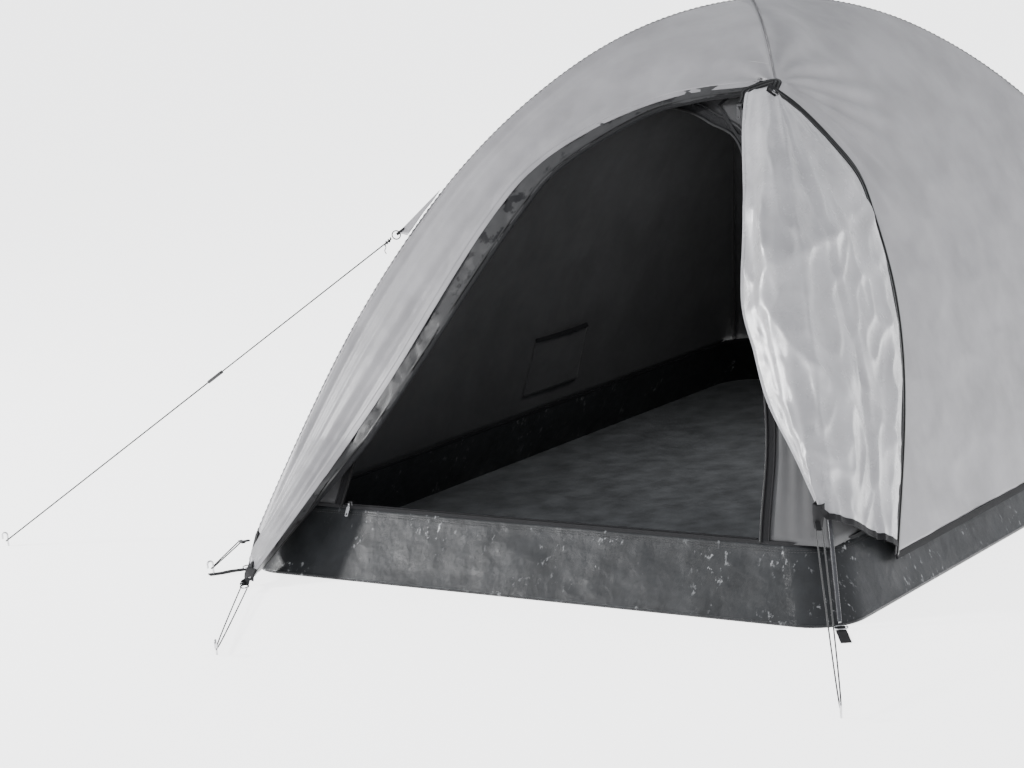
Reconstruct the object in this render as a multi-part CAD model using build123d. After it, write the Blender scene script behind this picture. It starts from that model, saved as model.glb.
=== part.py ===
from build123d import *
import os
from math import atan2, cos, degrees, hypot, pi, radians, sin, tan

# Two-person crossed-pole dome tent, pitched, with its front door open.
# Millimetres. X runs to the right of a person facing the door, Y runs back into the tent, Z is up.
# The origin is the middle of the floor, at ground level.

# ---------------------------------------------------------------- driving dimensions
FLOOR_WIDTH = 1400
FLOOR_LENGTH = 2100
TUB_HEIGHT = 130              # wall of the waterproof floor tray
SHEET = 2.0                   # thickness given to every fabric panel
POLE_HEIGHT = 1060            # centre line of the lower pole where the poles cross
POLE_DIAMETER = 8.5
POLE_BORE = 5.0
SECTIONS_PER_LEG = 4          # pole pieces from the crossing down to one corner
LEAN_POWER = 0.85             # how early the bend of a pole starts away from the crossing
FERRULE_DIAMETER = 10.5
FERRULE_LENGTH = 90
SHOCK_CORD_DIAMETER = 2.5
SLEEVE_DIAMETER = 15.0
SLEEVE_WALL = 0.8
INNER_GAP = -13.0             # inner tent fabric lies this far inside the pole line
FLY_GAP = 20.0                # flysheet lies this far outside the pole line
FLY_HEM_HEIGHT = 75           # lower edge of the flysheet above the ground
PANEL_GAP = 1.0               # half the clearance between two panels at a ridge

FOOT_INSET = 22               # pole feet stand this far inside the corners of the floor

HALF_WIDTH = FLOOR_WIDTH / 2
HALF_LENGTH = FLOOR_LENGTH / 2
HALF_DIAGONAL = hypot(HALF_WIDTH, HALF_LENGTH)
REACH = HALF_DIAGONAL - FOOT_INSET
ACROSS = HALF_WIDTH / HALF_DIAGONAL    # share of a pole's reach that runs along X
ALONG = HALF_LENGTH / HALF_DIAGONAL    # share of a pole's reach that runs along Y

CORNERS = {
    "front_left": (-1, -1),
    "front_right": (1, -1),
    "back_right": (1, 1),
    "back_left": (-1, 1),
}


# ---------------------------------------------------------------- pole line
def leans(base):
    """Slope angles of a leg at its joints, level at the crossing and steepest at the corner."""
    steps = range(SECTIONS_PER_LEG + 1)
    return [base * sin(pi / 2 * i / SECTIONS_PER_LEG) ** LEAN_POWER for i in steps]


def leg_rise_and_run(angles):
    """Drop and reach of a leg whose pieces are arcs of length one."""
    rise = 0.0
    run = 0.0
    for a, b in zip(angles, angles[1:]):
        rise += (cos(a) - cos(b)) / (b - a)
        run += (sin(b) - sin(a)) / (b - a)
    return rise, run


def bend_leg(height):
    """Joint angles and piece length of a leg that drops by height over the reach to a corner."""
    low, high = radians(30), radians(85)
    for _ in range(60):
        middle = (low + high) / 2
        rise, run = leg_rise_and_run(leans(middle))
        if rise / run < height / REACH:
            low = middle
        else:
            high = middle
    angles = leans(low)
    return angles, REACH / leg_rise_and_run(angles)[1]


class Leg:
    """One half of a pole, from the crossing to a corner, as tangent arcs in an upright plane."""

    def __init__(self, height):
        self.height = height
        self.angles, self.piece = bend_leg(height)
        self.length = self.piece * SECTIONS_PER_LEG

    def at(self, distance, gap=0.0):
        """Reach and height at a distance from the crossing, moved outward by gap."""
        reach, drop = 0.0, 0.0
        left = distance
        angle = 0.0
        for a, b in zip(self.angles, self.angles[1:]):
            step = min(left, self.piece)
            angle = a + (b - a) * step / self.piece
            if angle > a:
                radius = self.piece / (b - a)
                reach += radius * (sin(angle) - sin(a))
                drop += radius * (cos(a) - cos(angle))
            left -= step
            if left <= 0:
                break
        return reach + gap * sin(angle), self.height - drop + gap * cos(angle)

    def reach_at(self, height, gap=0.0):
        """Reach of the pole line, moved outward by gap, at a height above the ground."""
        low, high = 0.0, self.length
        for _ in range(40):
            middle = (low + high) / 2
            if self.at(middle, gap)[1] > height:
                low = middle
            else:
                high = middle
        return self.at(low, gap)[0]


LOWER_LEG = Leg(POLE_HEIGHT)
UPPER_LEG = Leg(POLE_HEIGHT + FERRULE_DIAMETER + 1.5)


def on_leg(leg, corner, distance, gap=0.0):
    """Point of a leg that runs to the named corner."""
    reach, height = leg.at(distance, gap)
    sx, sy = CORNERS[corner]
    return Vector(sx * ACROSS * reach, sy * ALONG * reach, height)


def leg_of(corner):
    """The lower pole runs from front left to back right, the upper one crosses it."""
    return LOWER_LEG if corner in ("front_left", "back_right") else UPPER_LEG


def leg_arcs(leg, corner, start, end):
    """Path along a leg between two distances, one arc for each pole piece that it covers."""
    cuts = [start]
    for i in range(1, SECTIONS_PER_LEG):
        if start < i * leg.piece < end:
            cuts.append(i * leg.piece)
    cuts.append(end)
    arcs = []
    for a, b in zip(cuts, cuts[1:]):
        points = [on_leg(leg, corner, d) for d in (a, (a + b) / 2, b)]
        arcs.append(ThreePointArc(*points))
    return arcs


def tube_along(path, outer, bore=0.0):
    """Round tube or rod along one arc or line."""
    plane = Plane(origin=path @ 0, z_dir=path % 0)
    rod = sweep(plane * Circle(outer / 2), path=path)
    if bore > 0:
        rod -= sweep(plane * Circle(bore / 2), path=path)
    return rod


# ---------------------------------------------------------------- fabric panels
def vault_section(share, gap, thickness):
    """Upright cross-section of the two panels that face along one axis, as a thin arch."""
    leg = LOWER_LEG
    steps = 14
    ends = [leg.length * i / steps for i in range(steps + 1)]
    curves = []
    for level in (gap, gap + thickness):
        half = [leg.at(d, level) for d in ends]
        right = [(share * reach, height) for reach, height in half]
        left = [(-x, z) for x, z in reversed(right[1:])]
        curves.append(left + right)
    inner, outer = curves
    outline = Spline(*inner) + Line(inner[-1], outer[-1]) + Spline(*outer) + Line(outer[0], inner[0])
    return make_face(outline)


def side_wedge(side, low, high, spread=1.2):
    """Upright prism over one of the four plan triangles between the ridges."""
    x, y = HALF_WIDTH * spread, HALF_LENGTH * spread
    if side in ("front", "back"):
        points = [(0, 0), (-x, y), (x, y)]
        shift = (0, PANEL_GAP / ACROSS)
    else:
        points = [(0, 0), (x, -y), (x, y)]
        shift = (PANEL_GAP / ALONG, 0)
    sign = -1 if side in ("front", "left") else 1
    points = [(sign * (px + shift[0]), sign * (py + shift[1])) for px, py in points]
    prism = extrude(make_face(Polyline(*points, close=True)), high - low)
    return Pos(0, 0, low) * prism


def vault_panel(side, gap, low, thickness=SHEET):
    """One of the four curved panels of the dome, between two ridges and above a height."""
    along_x = side in ("left", "right")
    share = ACROSS if along_x else ALONG
    half = (HALF_LENGTH if along_x else HALF_WIDTH) * 1.2
    section = vault_section(share, gap, thickness)
    if along_x:
        arch = extrude(Plane.XZ * section, half, both=True)
    else:
        arch = extrude(Plane.YZ * section, half, both=True)
    return arch & side_wedge(side, low, POLE_HEIGHT + 100)


def front_of(x, z, gap):
    """Point of the dome's front face above the floor point x, at height z."""
    return Vector(x, -ALONG * LOWER_LEG.reach_at(z, gap), z)


def right_of(y, z, gap):
    """Point of the dome's right face."""
    return Vector(ACROSS * LOWER_LEG.reach_at(z, gap), y, z)


def grid_normal(grid, i, j):
    """Unit normal of a grid of points at one of them."""
    rows, columns = len(grid), len(grid[0])
    down = grid[min(i + 1, rows - 1)][j] - grid[max(i - 1, 0)][j]
    over = grid[i][min(j + 1, columns - 1)] - grid[i][max(j - 1, 0)]
    return down.cross(over).normalized()


def cloth(grid, thickness=SHEET):
    """Closed solid of a curved sheet through a grid of points, thickened to its outer side."""
    rows, columns = len(grid), len(grid[0])
    back = [[p for p in row] for row in grid]
    front = []
    for i in range(rows):
        front.append([grid[i][j] + grid_normal(grid, i, j) * thickness for j in range(columns)])
    faces = []

    def triangle(a, b, c):
        faces.append(Face(Wire.make_polygon([a, b, c], close=True)))

    def quad(a, b, c, d):
        triangle(a, b, c)
        triangle(a, c, d)

    for i in range(rows - 1):
        for j in range(columns - 1):
            quad(front[i][j], front[i + 1][j], front[i + 1][j + 1], front[i][j + 1])
            quad(back[i][j], back[i][j + 1], back[i + 1][j + 1], back[i + 1][j])
    for i in range(rows - 1):
        quad(back[i][0], back[i + 1][0], front[i + 1][0], front[i][0])
        quad(front[i][-1], front[i + 1][-1], back[i + 1][-1], back[i][-1])
    for j in range(columns - 1):
        quad(front[0][j], front[0][j + 1], back[0][j + 1], back[0][j])
        quad(back[-1][j], back[-1][j + 1], front[-1][j + 1], front[-1][j])
    return Solid(Shell(faces))


def flat_region(points, closing):
    """Flat region bounded by a smooth curve through points and straight runs through closing."""
    curve = Spline(*points)
    corners = [points[-1], *closing, points[0]]
    runs = [Line(a, b) for a, b in zip(corners, corners[1:])]
    return make_face([curve, *runs])


def through_front(region):
    """Prism of a region drawn in X and Z, running through the whole front of the tent."""
    return extrude(Plane.XZ * region, HALF_LENGTH * 1.4)


def through_right(region):
    """Prism of a region drawn in Y and Z, running through the whole right side of the tent."""
    return extrude(Plane.YZ * region, HALF_WIDTH * 1.4)


# ---------------------------------------------------------------- outlines of the openings
FLY_ARCH = [(-632, 0), (-555, 170), (-416, 402), (-284, 687), (-212, 794), (-95, 871), (57, 922), (240, 940)]
FLAP_BAND = [(-604, 0), (-490, 178), (-340, 430), (-209, 688), (-144, 786), (-1, 876), (110, 904), (222, 916)]
FLY_ZIP_SIDE = [(-465, 932), (-418, 882), (-378, 806), (-353, 736), (-376, 660), (-440, 500), (-560, 320), (-790, 60)]
INNER_ARCH = [(-494, 130), (-451, 375), (-279, 775), (-141, 865), (0, 893), (141, 865), (279, 775), (451, 375), (494, 130)]
DOOR_FREE_EDGE = [(234, 906), (320, 728), (376, 553), (426, 467), (475, 382), (546, 299), (611, 217)]
RIDGE_END_OF_HEM = 190        # height at which the open door's hem crosses the right front ridge

ZIP_TAPE = 9.0                # visible width of a zip's tape
VENT_CORNERS = [(150, 893), (255, 818), (286, 848), (186, 934)]
POCKET = (-90, 150, 180, 315)  # back and front edge along Y, lower and upper edge above ground


# ---------------------------------------------------------------- floor and inner tent
def tray_outline(height, inset):
    """Half sizes of the floor tray at a height; its walls lean in to meet the inner tent."""
    top = LOWER_LEG.reach_at(TUB_HEIGHT, INNER_GAP)
    share = height / TUB_HEIGHT
    x = HALF_WIDTH + (ACROSS * top - HALF_WIDTH) * share - inset
    y = HALF_LENGTH + (ALONG * top - HALF_LENGTH) * share - inset
    return 2 * x, 2 * y


CORNER_RADIUS = 92            # the tray's corners are rounded, so the pole feet stand clear of them


def tray_block(bottom, top, inset):
    """Solid between two levels of the tray."""
    radius = CORNER_RADIUS - inset
    low = Pos(0, 0, bottom) * RectangleRounded(*tray_outline(bottom, inset), radius)
    high = Pos(0, 0, top) * RectangleRounded(*tray_outline(top, inset), radius)
    return loft([low, high])


def make_groundsheet():
    return tray_block(0, TUB_HEIGHT, 0) - tray_block(SHEET, TUB_HEIGHT + 20, SHEET)


INNER_BOTTOM = TUB_HEIGHT + 1
DOOR_CUT = through_front(flat_region(INNER_ARCH, [(494, 20), (-494, 20)]))


def make_inner_front():
    vent = through_front(make_face(Polyline(*VENT_CORNERS, close=True)))
    return vault_panel("front", INNER_GAP, INNER_BOTTOM) - DOOR_CUT - vent


def make_vent():
    outline = make_face(Polyline(*VENT_CORNERS, close=True))
    outline = offset(outline, -0.6)
    return vault_panel("front", INNER_GAP, INNER_BOTTOM) & through_front(outline)


def ribbon(points, width, surface, gap, steps, thickness=1.2):
    """Tape along a smooth curve on a face of the dome; surface places a point of that face."""
    curve = Spline(*points)
    grid = []
    for i in range(steps + 1):
        here = curve @ (i / steps)
        heading_here = curve % (i / steps)
        over = (here.X + width * heading_here.Y, here.Y - width * heading_here.X)
        grid.append([surface(here.X, here.Y, gap), surface(over[0], max(over[1], 12), gap)])
    return cloth(grid, thickness)


def make_inner_zip():
    """Tape round the arch of the inner door, just outside its edge."""
    return ribbon(INNER_ARCH, -ZIP_TAPE, front_of, INNER_GAP + SHEET + 1.5, 30)


SILL_Y = -ALONG * LOWER_LEG.reach_at(TUB_HEIGHT, INNER_GAP)
SILL_TRACK_HALF = 484
TRACK_WIDTH, TRACK_HEIGHT = 3.0, 7.0


def make_sill_track():
    """Straight part of the inner door's zip, standing along the top of the front tray wall."""
    tape = Box(2 * SILL_TRACK_HALF, 1.2, TRACK_HEIGHT)
    coil = Pos(0, 0, TRACK_HEIGHT / 2 - 1) * Box(2 * SILL_TRACK_HALF, TRACK_WIDTH, 2)
    return Pos(0, SILL_Y + 1, TUB_HEIGHT + TRACK_HEIGHT / 2) * (tape + coil)


SLIDER_X = -470
SLIDER = (11, 9, 9)


def slider_centre():
    return Vector(SLIDER_X, SILL_Y + 1, TUB_HEIGHT + TRACK_HEIGHT + 1)


HINGE_PIN = 0.9
HINGE_STANDOFF = 2.4          # the pull tab's pin stands this far in front of its slider


def make_slider_body(size):
    """Zip slider at the origin: a slotted block with two ears and a pin for the pull tab."""
    x, y, z = size
    body = fillet(Box(x, y, z).edges().filter_by(Axis.Z), 2)
    slot = Pos(0, 0, -z / 4) * Box(x + 2, TRACK_WIDTH + 0.8, z / 2)
    slot += Pos(0, 0, -z / 2) * Box(x + 2, TRACK_WIDTH - 0.8, z / 2)
    front = -y / 2 - HINGE_STANDOFF
    for side in (-1, 1):
        body += Pos(side * 2.5, front / 2 - y / 4 + 0.2, 0) * Box(1.2, HINGE_STANDOFF + 1.8, 3.4)
    pin = Pos(0, front, 0) * Cylinder(HINGE_PIN, 6.2, rotation=(0, 90, 0))
    return body - slot + pin


def make_pull_tab(size, length, tilt):
    """Pull tab of a slider at the origin, hanging from the pin by a barrel and tilted outward."""
    barrel = Cylinder(2.0, 3.2, rotation=(0, 90, 0))
    neck = Pos(0, 0, -4) * Box(3, 1.2, 6)
    blade = Pos(0, 0, -5 - (length - 8) / 2) * fillet(Box(8, 1.2, length - 8).edges().filter_by(Axis.Y), 2.5)
    grip = Pos(0, 0, 8 - length) * Cylinder(2, 4, rotation=(90, 0, 0))
    bore = Cylinder(HINGE_PIN + 0.08, 5, rotation=(0, 90, 0))
    place = Pos(0, -size[1] / 2 - HINGE_STANDOFF, 0)
    return place * Rot(-tilt, 0, 0) * (barrel + neck + blade - grip - bore)


def make_inner_door():
    """Inner door dropped inside the sill at its right end, in three flat folds."""
    folds = []
    for i, (width, depth) in enumerate(((330, 90), (290, 76), (240, 60))):
        y = SILL_Y + 22 + depth / 2
        folds.append(Pos(455 - width / 2, y, SHEET + 4.5 + 7 * i) * Box(width, depth, 7))
    stack = folds[0] + folds[1] + folds[2]
    return stack


def make_pocket():
    """Storage pocket on the inside of the left wall: a flat bag with an open top."""
    y0, y1, z0, z1 = POCKET
    outline = make_face(Polyline((y0, z0), (y1, z0), (y1 - 8, z1), (y0 + 8, z1), close=True))
    slab = extrude(Plane.YZ * outline, -HALF_WIDTH * 1.4)
    return vault_panel("left", INNER_GAP - 16, INNER_BOTTOM, 2) & slab


# ---------------------------------------------------------------- poles
def leg_end(leg):
    """Distance from the crossing at which the pole stops, just above the ground."""
    return leg.length - 14


def make_leg(corner):
    """Four hollow pole pieces of one leg, each a separate rod."""
    leg = leg_of(corner)
    pieces = []
    for i in range(SECTIONS_PER_LEG):
        start = i * leg.piece + 0.4
        end = min((i + 1) * leg.piece - 0.4, leg_end(leg))
        for arc in leg_arcs(leg, corner, start, end):
            pieces.append(tube_along(arc, POLE_DIAMETER, POLE_BORE))
    return Compound(children=pieces)


def make_ferrules(corners):
    """Metal sleeves over the joints of one pole, the middle one at the crossing."""
    rings = []
    half = FERRULE_LENGTH / 2
    for corner in corners:
        leg = leg_of(corner)
        for i in range(SECTIONS_PER_LEG):
            joint = i * leg.piece
            spans = [(joint, joint + half)]
            if i > 0:
                spans.append((joint - half, joint))
            for start, end in spans:
                arc = leg_arcs(leg, corner, start, end)[0]
                rings.append(tube_along(arc, FERRULE_DIAMETER, POLE_DIAMETER + 0.1))
    return rings


def joined(solids):
    """One shape from solids that touch."""
    shape = solids[0]
    for solid in solids[1:]:
        shape = shape + solid
    return shape


def make_shock_cords(corners):
    """Elastic cord threaded through one pole from corner to corner."""
    strands = []
    for corner in corners:
        leg = leg_of(corner)
        for arc in leg_arcs(leg, corner, 0, leg_end(leg) - 42):
            strands.append(tube_along(arc, SHOCK_CORD_DIAMETER))
    return strands


def make_sleeve(corner):
    """Fabric tunnel on the outside of the inner tent that holds one leg."""
    leg = leg_of(corner)
    arcs = leg_arcs(leg, corner, 90, leg.length * 0.86)
    tubes = [tube_along(arc, SLEEVE_DIAMETER, SLEEVE_DIAMETER - 2 * SLEEVE_WALL) for arc in arcs]
    return joined(tubes)


def foot_frame(corner):
    """Plane at the end of a leg, with its normal pointing down the pole."""
    leg = leg_of(corner)
    end = on_leg(leg, corner, leg_end(leg))
    before = on_leg(leg, corner, leg_end(leg) - 5)
    return Plane(origin=end, z_dir=(end - before).normalized())


PIN_DIAMETER = 4.6
PIN_LENGTH = 38
RING_RADIUS = 13
RING_WIRE = 3.0


def ring_centre(corner):
    """Middle of the ring that carries a corner's pole pin."""
    sx, sy = CORNERS[corner]
    foot = foot_frame(corner).origin
    return Vector(foot.X + sx * ACROSS * RING_RADIUS, foot.Y + sy * ALONG * RING_RADIUS, 5)


def make_pins():
    """Steel pins that stand in the open ends of the poles."""
    pins = []
    for corner in CORNERS:
        frame = foot_frame(corner)
        rod = Pos(0, 0, 3 - PIN_LENGTH) * extrude(Circle(PIN_DIAMETER / 2), PIN_LENGTH)
        pins.append(frame * rod)
    return pins


def make_rings():
    return [Pos(*ring_centre(c)) * Torus(RING_RADIUS, RING_WIRE / 2) for c in CORNERS]


STRAP_WIDTH = 20
STRAP_THICKNESS = 1.6
STRAP_REACH = 62              # a corner strap's eyelet lies this far outside the floor corner
STRAP_ROOT = 36.85            # the strap meets the rounded tray wall this far inside the corner


def outward(corner):
    """Heading of the floor diagonal at a corner, in degrees from X."""
    sx, sy = CORNERS[corner]
    return degrees(atan2(sy * ALONG, sx * ACROSS))


def make_corner_straps():
    """Webbing from each floor corner, under the ring, to an eyelet for a peg."""
    straps = []
    for corner, (sx, sy) in CORNERS.items():
        start = -STRAP_ROOT
        end = STRAP_REACH + 10
        band = Pos((start + end) / 2, 0, 0) * Box(end - start, STRAP_WIDTH, STRAP_THICKNESS)
        band -= Pos(STRAP_REACH, 0, 0) * Box(9, 12, 4)
        place = Pos(sx * HALF_WIDTH, sy * HALF_LENGTH, STRAP_THICKNESS / 2)
        straps.append(place * Rot(0, 0, outward(corner)) * band)
    return straps


def make_crossing_tie():
    """Tape from the top of the inner tent, passed over and under both poles where they cross."""
    low = LOWER_LEG.height - FERRULE_DIAMETER / 2 - 1.8
    high = UPPER_LEG.height + FERRULE_DIAMETER / 2 + 0.5
    tie = Pos(0, 0, low) * Cylinder(17, 1.2) + Pos(0, 0, high + 0.6) * Cylinder(17, 1.2)
    for x, y in ((-15, 0), (15, 0), (0, -15), (0, 15)):
        tie += Pos(x, y, (low + high) / 2) * Box(2.6, 2.6, high - low)
    return tie


# ---------------------------------------------------------------- flysheet
ARCH_CUT = through_front(flat_region(FLY_ARCH, [(900, 940), (900, -50), (-632, -50)]))
ZIP_SIDE_CUT = through_right(flat_region(FLY_ZIP_SIDE, [(-790, -50), (-1400, -50), (-1400, 932)]))


FOOT_TOP = 262                # the flysheet leaves the dome's face below this height
TIP = Vector(-600, -1152, 16)
TIP_INSIDE = Vector(-632, -1062, 14)


def point_on(curve, height):
    """X of a door outline, drawn in X and Z, at a height."""
    for (x0, z0), (x1, z1) in zip(curve, curve[1:]):
        if z0 <= height <= z1:
            return x0 + (x1 - x0) * (height - z0) / (z1 - z0)
    return curve[0][0]


def make_fly_front():
    return vault_panel("front", FLY_GAP, FOOT_TOP + 4) - ARCH_CUT


def make_fly_foot():
    """Left foot of the flysheet, drawn forward to its pegging tip."""
    rows = 7
    grid = []
    for i in range(rows):
        t = i / (rows - 1)
        ridge_z = FOOT_TOP + (FLY_HEM_HEIGHT + 4 - FOOT_TOP) * t
        reach = LOWER_LEG.reach_at(ridge_z, FLY_GAP)
        ridge = Vector(-ACROSS * reach + 1, -ALONG * reach, ridge_z)
        top = front_of(point_on(FLY_ARCH, FOOT_TOP), FOOT_TOP, FLY_GAP)
        edge = top + (TIP - top) * t
        row = []
        for k in range(4):
            row.append(ridge + (edge - ridge) * (k / 3))
        grid.append(row)
    return cloth(grid)


def make_flap_foot():
    """Foot of the dark facing, from the flysheet's tip back to the floor tray."""
    rows = 6
    grid = []
    for i in range(rows):
        t = i / (rows - 1)
        outer_top = front_of(point_on(FLY_ARCH, FOOT_TOP) + 1, FOOT_TOP, FLY_GAP - 4)
        inner_top = front_of(point_on(FLAP_BAND, FOOT_TOP), FOOT_TOP, FLY_GAP - 4)
        outer = outer_top + (TIP + Vector(9, 4, 0) - outer_top) * t
        inner = inner_top + (TIP_INSIDE - inner_top) * t
        row = []
        for k in range(3):
            row.append(outer + (inner - outer) * (k / 2))
        grid.append(row)
    return cloth(grid, 1.6)


def make_fly_right():
    return vault_panel("right", FLY_GAP, FLY_HEM_HEIGHT) - ZIP_SIDE_CUT


def make_storm_flap():
    """Dark facing behind the left edge of the door, under the flysheet."""
    curves = [Spline(*FLY_ARCH), Line(FLY_ARCH[-1], FLAP_BAND[-1])]
    curves += [Spline(*reversed(FLAP_BAND)), Line(FLAP_BAND[0], FLY_ARCH[0])]
    return vault_panel("front", FLY_GAP - 3, FOOT_TOP + 5, 2) & through_front(make_face(curves))


def make_fly_zip_left():
    """Open half of the flysheet's zip, along the inner edge of the dark facing."""
    return ribbon(FLAP_BAND[1:], ZIP_TAPE, front_of, FLY_GAP - 3.5, 30)


def make_fly_zip_right():
    """Closed half of the flysheet's zip, from the top of the door down the right side."""
    return ribbon(FLY_ZIP_SIDE, ZIP_TAPE, right_of, FLY_GAP + SHEET + 2.6, 30)


FLAP_GAP = FLY_GAP + 6
DOOR_TOP = 904                # height at which the open door crosses the ridge at its top


def make_fly_door():
    """Outer door, drawn round the right front ridge and hanging from the top of the arch."""
    rows, side_columns = 9, 4
    grid = []
    for i in range(rows):
        t = i / (rows - 1)
        edge = Spline(*DOOR_FREE_EDGE) @ t
        side = Spline(*FLY_ZIP_SIDE) @ (0.06 + 0.91 * t)
        corner_z = DOOR_TOP + (RIDGE_END_OF_HEM - DOOR_TOP) * t
        reach = LOWER_LEG.reach_at(corner_z, FLAP_GAP)
        row = [front_of(edge.X, edge.Y, FLAP_GAP)]
        row.append(Vector(ACROSS * reach, -ALONG * reach, corner_z))
        for k in range(1, side_columns + 1):
            share = k / side_columns
            y = -ALONG * reach + (side.X - 20 + ALONG * reach) * share
            z = corner_z + (side.Y - 12 - corner_z) * share
            row.append(right_of(y, z, FLAP_GAP))
        grid.append(row)
    return cloth(grid)


def hem_strip(side):
    """Dark binding under the lower edge of one flysheet panel."""
    return vault_panel(side, FLY_GAP - 1, FLY_HEM_HEIGHT - 10, 4) - vault_panel(side, FLY_GAP - 3, FLY_HEM_HEIGHT - 0.5, 8)


def make_hem():
    """Binding of the left, back and right hems; the right one starts behind the door."""
    strips = []
    for side in ("left", "back", "right"):
        strip = hem_strip(side)
        if side == "right":
            strip -= Pos(HALF_WIDTH, -HALF_LENGTH * 0.9, 60) * Box(400, 560, 200)
        strips.append(strip)
    return strips


# ---------------------------------------------------------------- pegs and guying points
PEG_WIRE = 4.0
PEG_SHAFT = 24                # straight part of a peg above the ground
PEG_HOOK_RADIUS = 6
ELASTIC_DIAMETER = 2.8
GUY_DIAMETER = 3.0

TIP_PEG = Vector(-333, -1574, 0)
STRAP_PEG_REACH = HALF_DIAGONAL + STRAP_REACH
CORNER_PEG = Vector(-ACROSS * STRAP_PEG_REACH, -ALONG * STRAP_PEG_REACH, 0)
DOOR_PEG = Vector(930, -1500, 0)
GUY_PEG = Vector(-1370, -1050, 0)
GUY_HEIGHT = 700              # the guying points sit on the ridges at this height
GUY_TAB_LENGTH = 85


def heading(a, b):
    """Direction on the ground from one point to another, in degrees from X."""
    return degrees(atan2(b.Y - a.Y, b.X - a.X))


def make_peg(place, pull_from):
    """Wire peg as it shows above the ground, its hook facing away from the pull."""
    top = PEG_SHAFT + PEG_HOOK_RADIUS
    shaft = Line((0, 0, 0), (0, 0, PEG_SHAFT))
    bend = ThreePointArc((0, 0, PEG_SHAFT), (PEG_HOOK_RADIUS, 0, top), (2 * PEG_HOOK_RADIUS, 0, PEG_SHAFT))
    end = Line((2 * PEG_HOOK_RADIUS, 0, PEG_SHAFT), (2 * PEG_HOOK_RADIUS, 0, PEG_SHAFT - 8))
    path = Wire([shaft, bend, end])
    wire = sweep(Circle(PEG_WIRE / 2), path=path)
    return Pos(*place) * Rot(0, 0, heading(pull_from, place)) * wire


def ridge_point(corner, height, gap):
    reach = leg_of(corner).reach_at(height, gap)
    sx, sy = CORNERS[corner]
    return Vector(sx * ACROSS * reach, sy * ALONG * reach, height)


GUY_ROOT = ridge_point("front_left", GUY_HEIGHT, FLY_GAP + SHEET + 3)
GUY_PULL = (GUY_PEG - GUY_ROOT).normalized()
GUY_RING = GUY_ROOT + GUY_PULL * GUY_TAB_LENGTH


def make_guy_tab(corner):
    """Triangle of fabric that spreads a guy line's pull along a ridge."""
    sx, sy = CORNERS[corner]
    pull = Vector(-sx * GUY_PULL.X, -sy * GUY_PULL.Y, GUY_PULL.Z)
    root = ridge_point(corner, GUY_HEIGHT, FLY_GAP + SHEET + 3)
    upper = ridge_point(corner, GUY_HEIGHT + 42, FLY_GAP + SHEET + 3)
    lower = ridge_point(corner, GUY_HEIGHT - 42, FLY_GAP + SHEET + 3)
    tip = root + pull * (GUY_TAB_LENGTH - 21)
    along = (upper - lower).normalized() * 6
    outline = Polyline(upper, lower, tip - along, tip + along, close=True)
    face = Face(Wire(outline.edges()))
    return extrude(face, 0.8, both=True)


def make_guy_tabs():
    return [make_guy_tab(c) for c in CORNERS]


def make_guy_ring():
    """Steel ring at the tip of the guying tab that is in use."""
    plane = Plane(origin=GUY_RING - GUY_PULL * 7, x_dir=GUY_PULL, z_dir=Vector(0, 0, 1).cross(GUY_PULL))
    return plane * Torus(9, 1.3)


# ---------------------------------------------------------------- cords
def corner_radii(points, limit):
    """Arc radius at each inner point: 0.45 of the shorter run over the tangent of half the turn."""
    radii = []
    for a, b, c in zip(points, points[1:], points[2:]):
        turn = radians((b - a).get_angle(c - b))
        shorter = min((b - a).length, (c - b).length)
        radii.append(min(0.45 * shorter / tan(turn / 2), limit))
    return radii


def make_cord(name, points, diameter, limit=1000):
    """Round cord along straight runs joined by tangent arcs."""
    radii = corner_radii(points, limit)
    path = FilletPolyline(*points, radius=radii)
    plane = Plane(origin=path @ 0, z_dir=path % 0)
    cord = sweep(plane * Circle(diameter / 2), path=Wire(path.edges()))
    expected = pi * diameter ** 2 / 4 * path.length
    print(name, "radii", [round(r, 1) for r in radii], "length", round(path.length, 1))
    print(name, "volume over section times length", round(cord.volume / expected, 4))
    return cord


def loop_round(start, peg, half_width):
    """Route from one side of start, round the back of a peg, and back to its other side."""
    ahead = Vector(peg.X - start.X, peg.Y - start.Y, 0).normalized()
    side = Vector(-ahead.Y, ahead.X, 0)
    clear = PEG_WIRE / 2 + ELASTIC_DIAMETER / 2 + 0.6
    back = peg + ahead * clear
    near = side * clear
    away = side * half_width
    return [start + away, back + near, back - near, start - away]


TIP_LOOP = Vector(-562, -1213, 14)
CORNER_HOOK = Vector(-706, -1044, 58)
DOOR_LOOP = Vector(640, -1004, 176)
GUY_STRAND_GAP = 4.5
ADJUSTER_LENGTH = 36
ADJUSTER_SHARE = 0.45         # place of the adjuster along the guy line, from the ring


def tip_elastic_route():
    return loop_round(TIP_LOOP, TIP_PEG + Vector(0, 0, 12), 7)


def corner_elastic_route():
    return loop_round(CORNER_HOOK, CORNER_PEG + Vector(0, 0, 14), 5)


def door_elastic_route():
    return loop_round(DOOR_LOOP, DOOR_PEG + Vector(0, 0, 14), 6)


GUY_SIDE = Vector(-GUY_PULL.Y, GUY_PULL.X, 0).normalized()
GUY_FOOT = GUY_PEG + Vector(0, 0, 14)
GUY_LINE_DIRECTION = (GUY_FOOT - GUY_RING).normalized()
GUY_LINE_LENGTH = (GUY_FOOT - GUY_RING).length
ADJUSTER_CENTRE = GUY_RING + GUY_LINE_DIRECTION * GUY_LINE_LENGTH * ADJUSTER_SHARE


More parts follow.
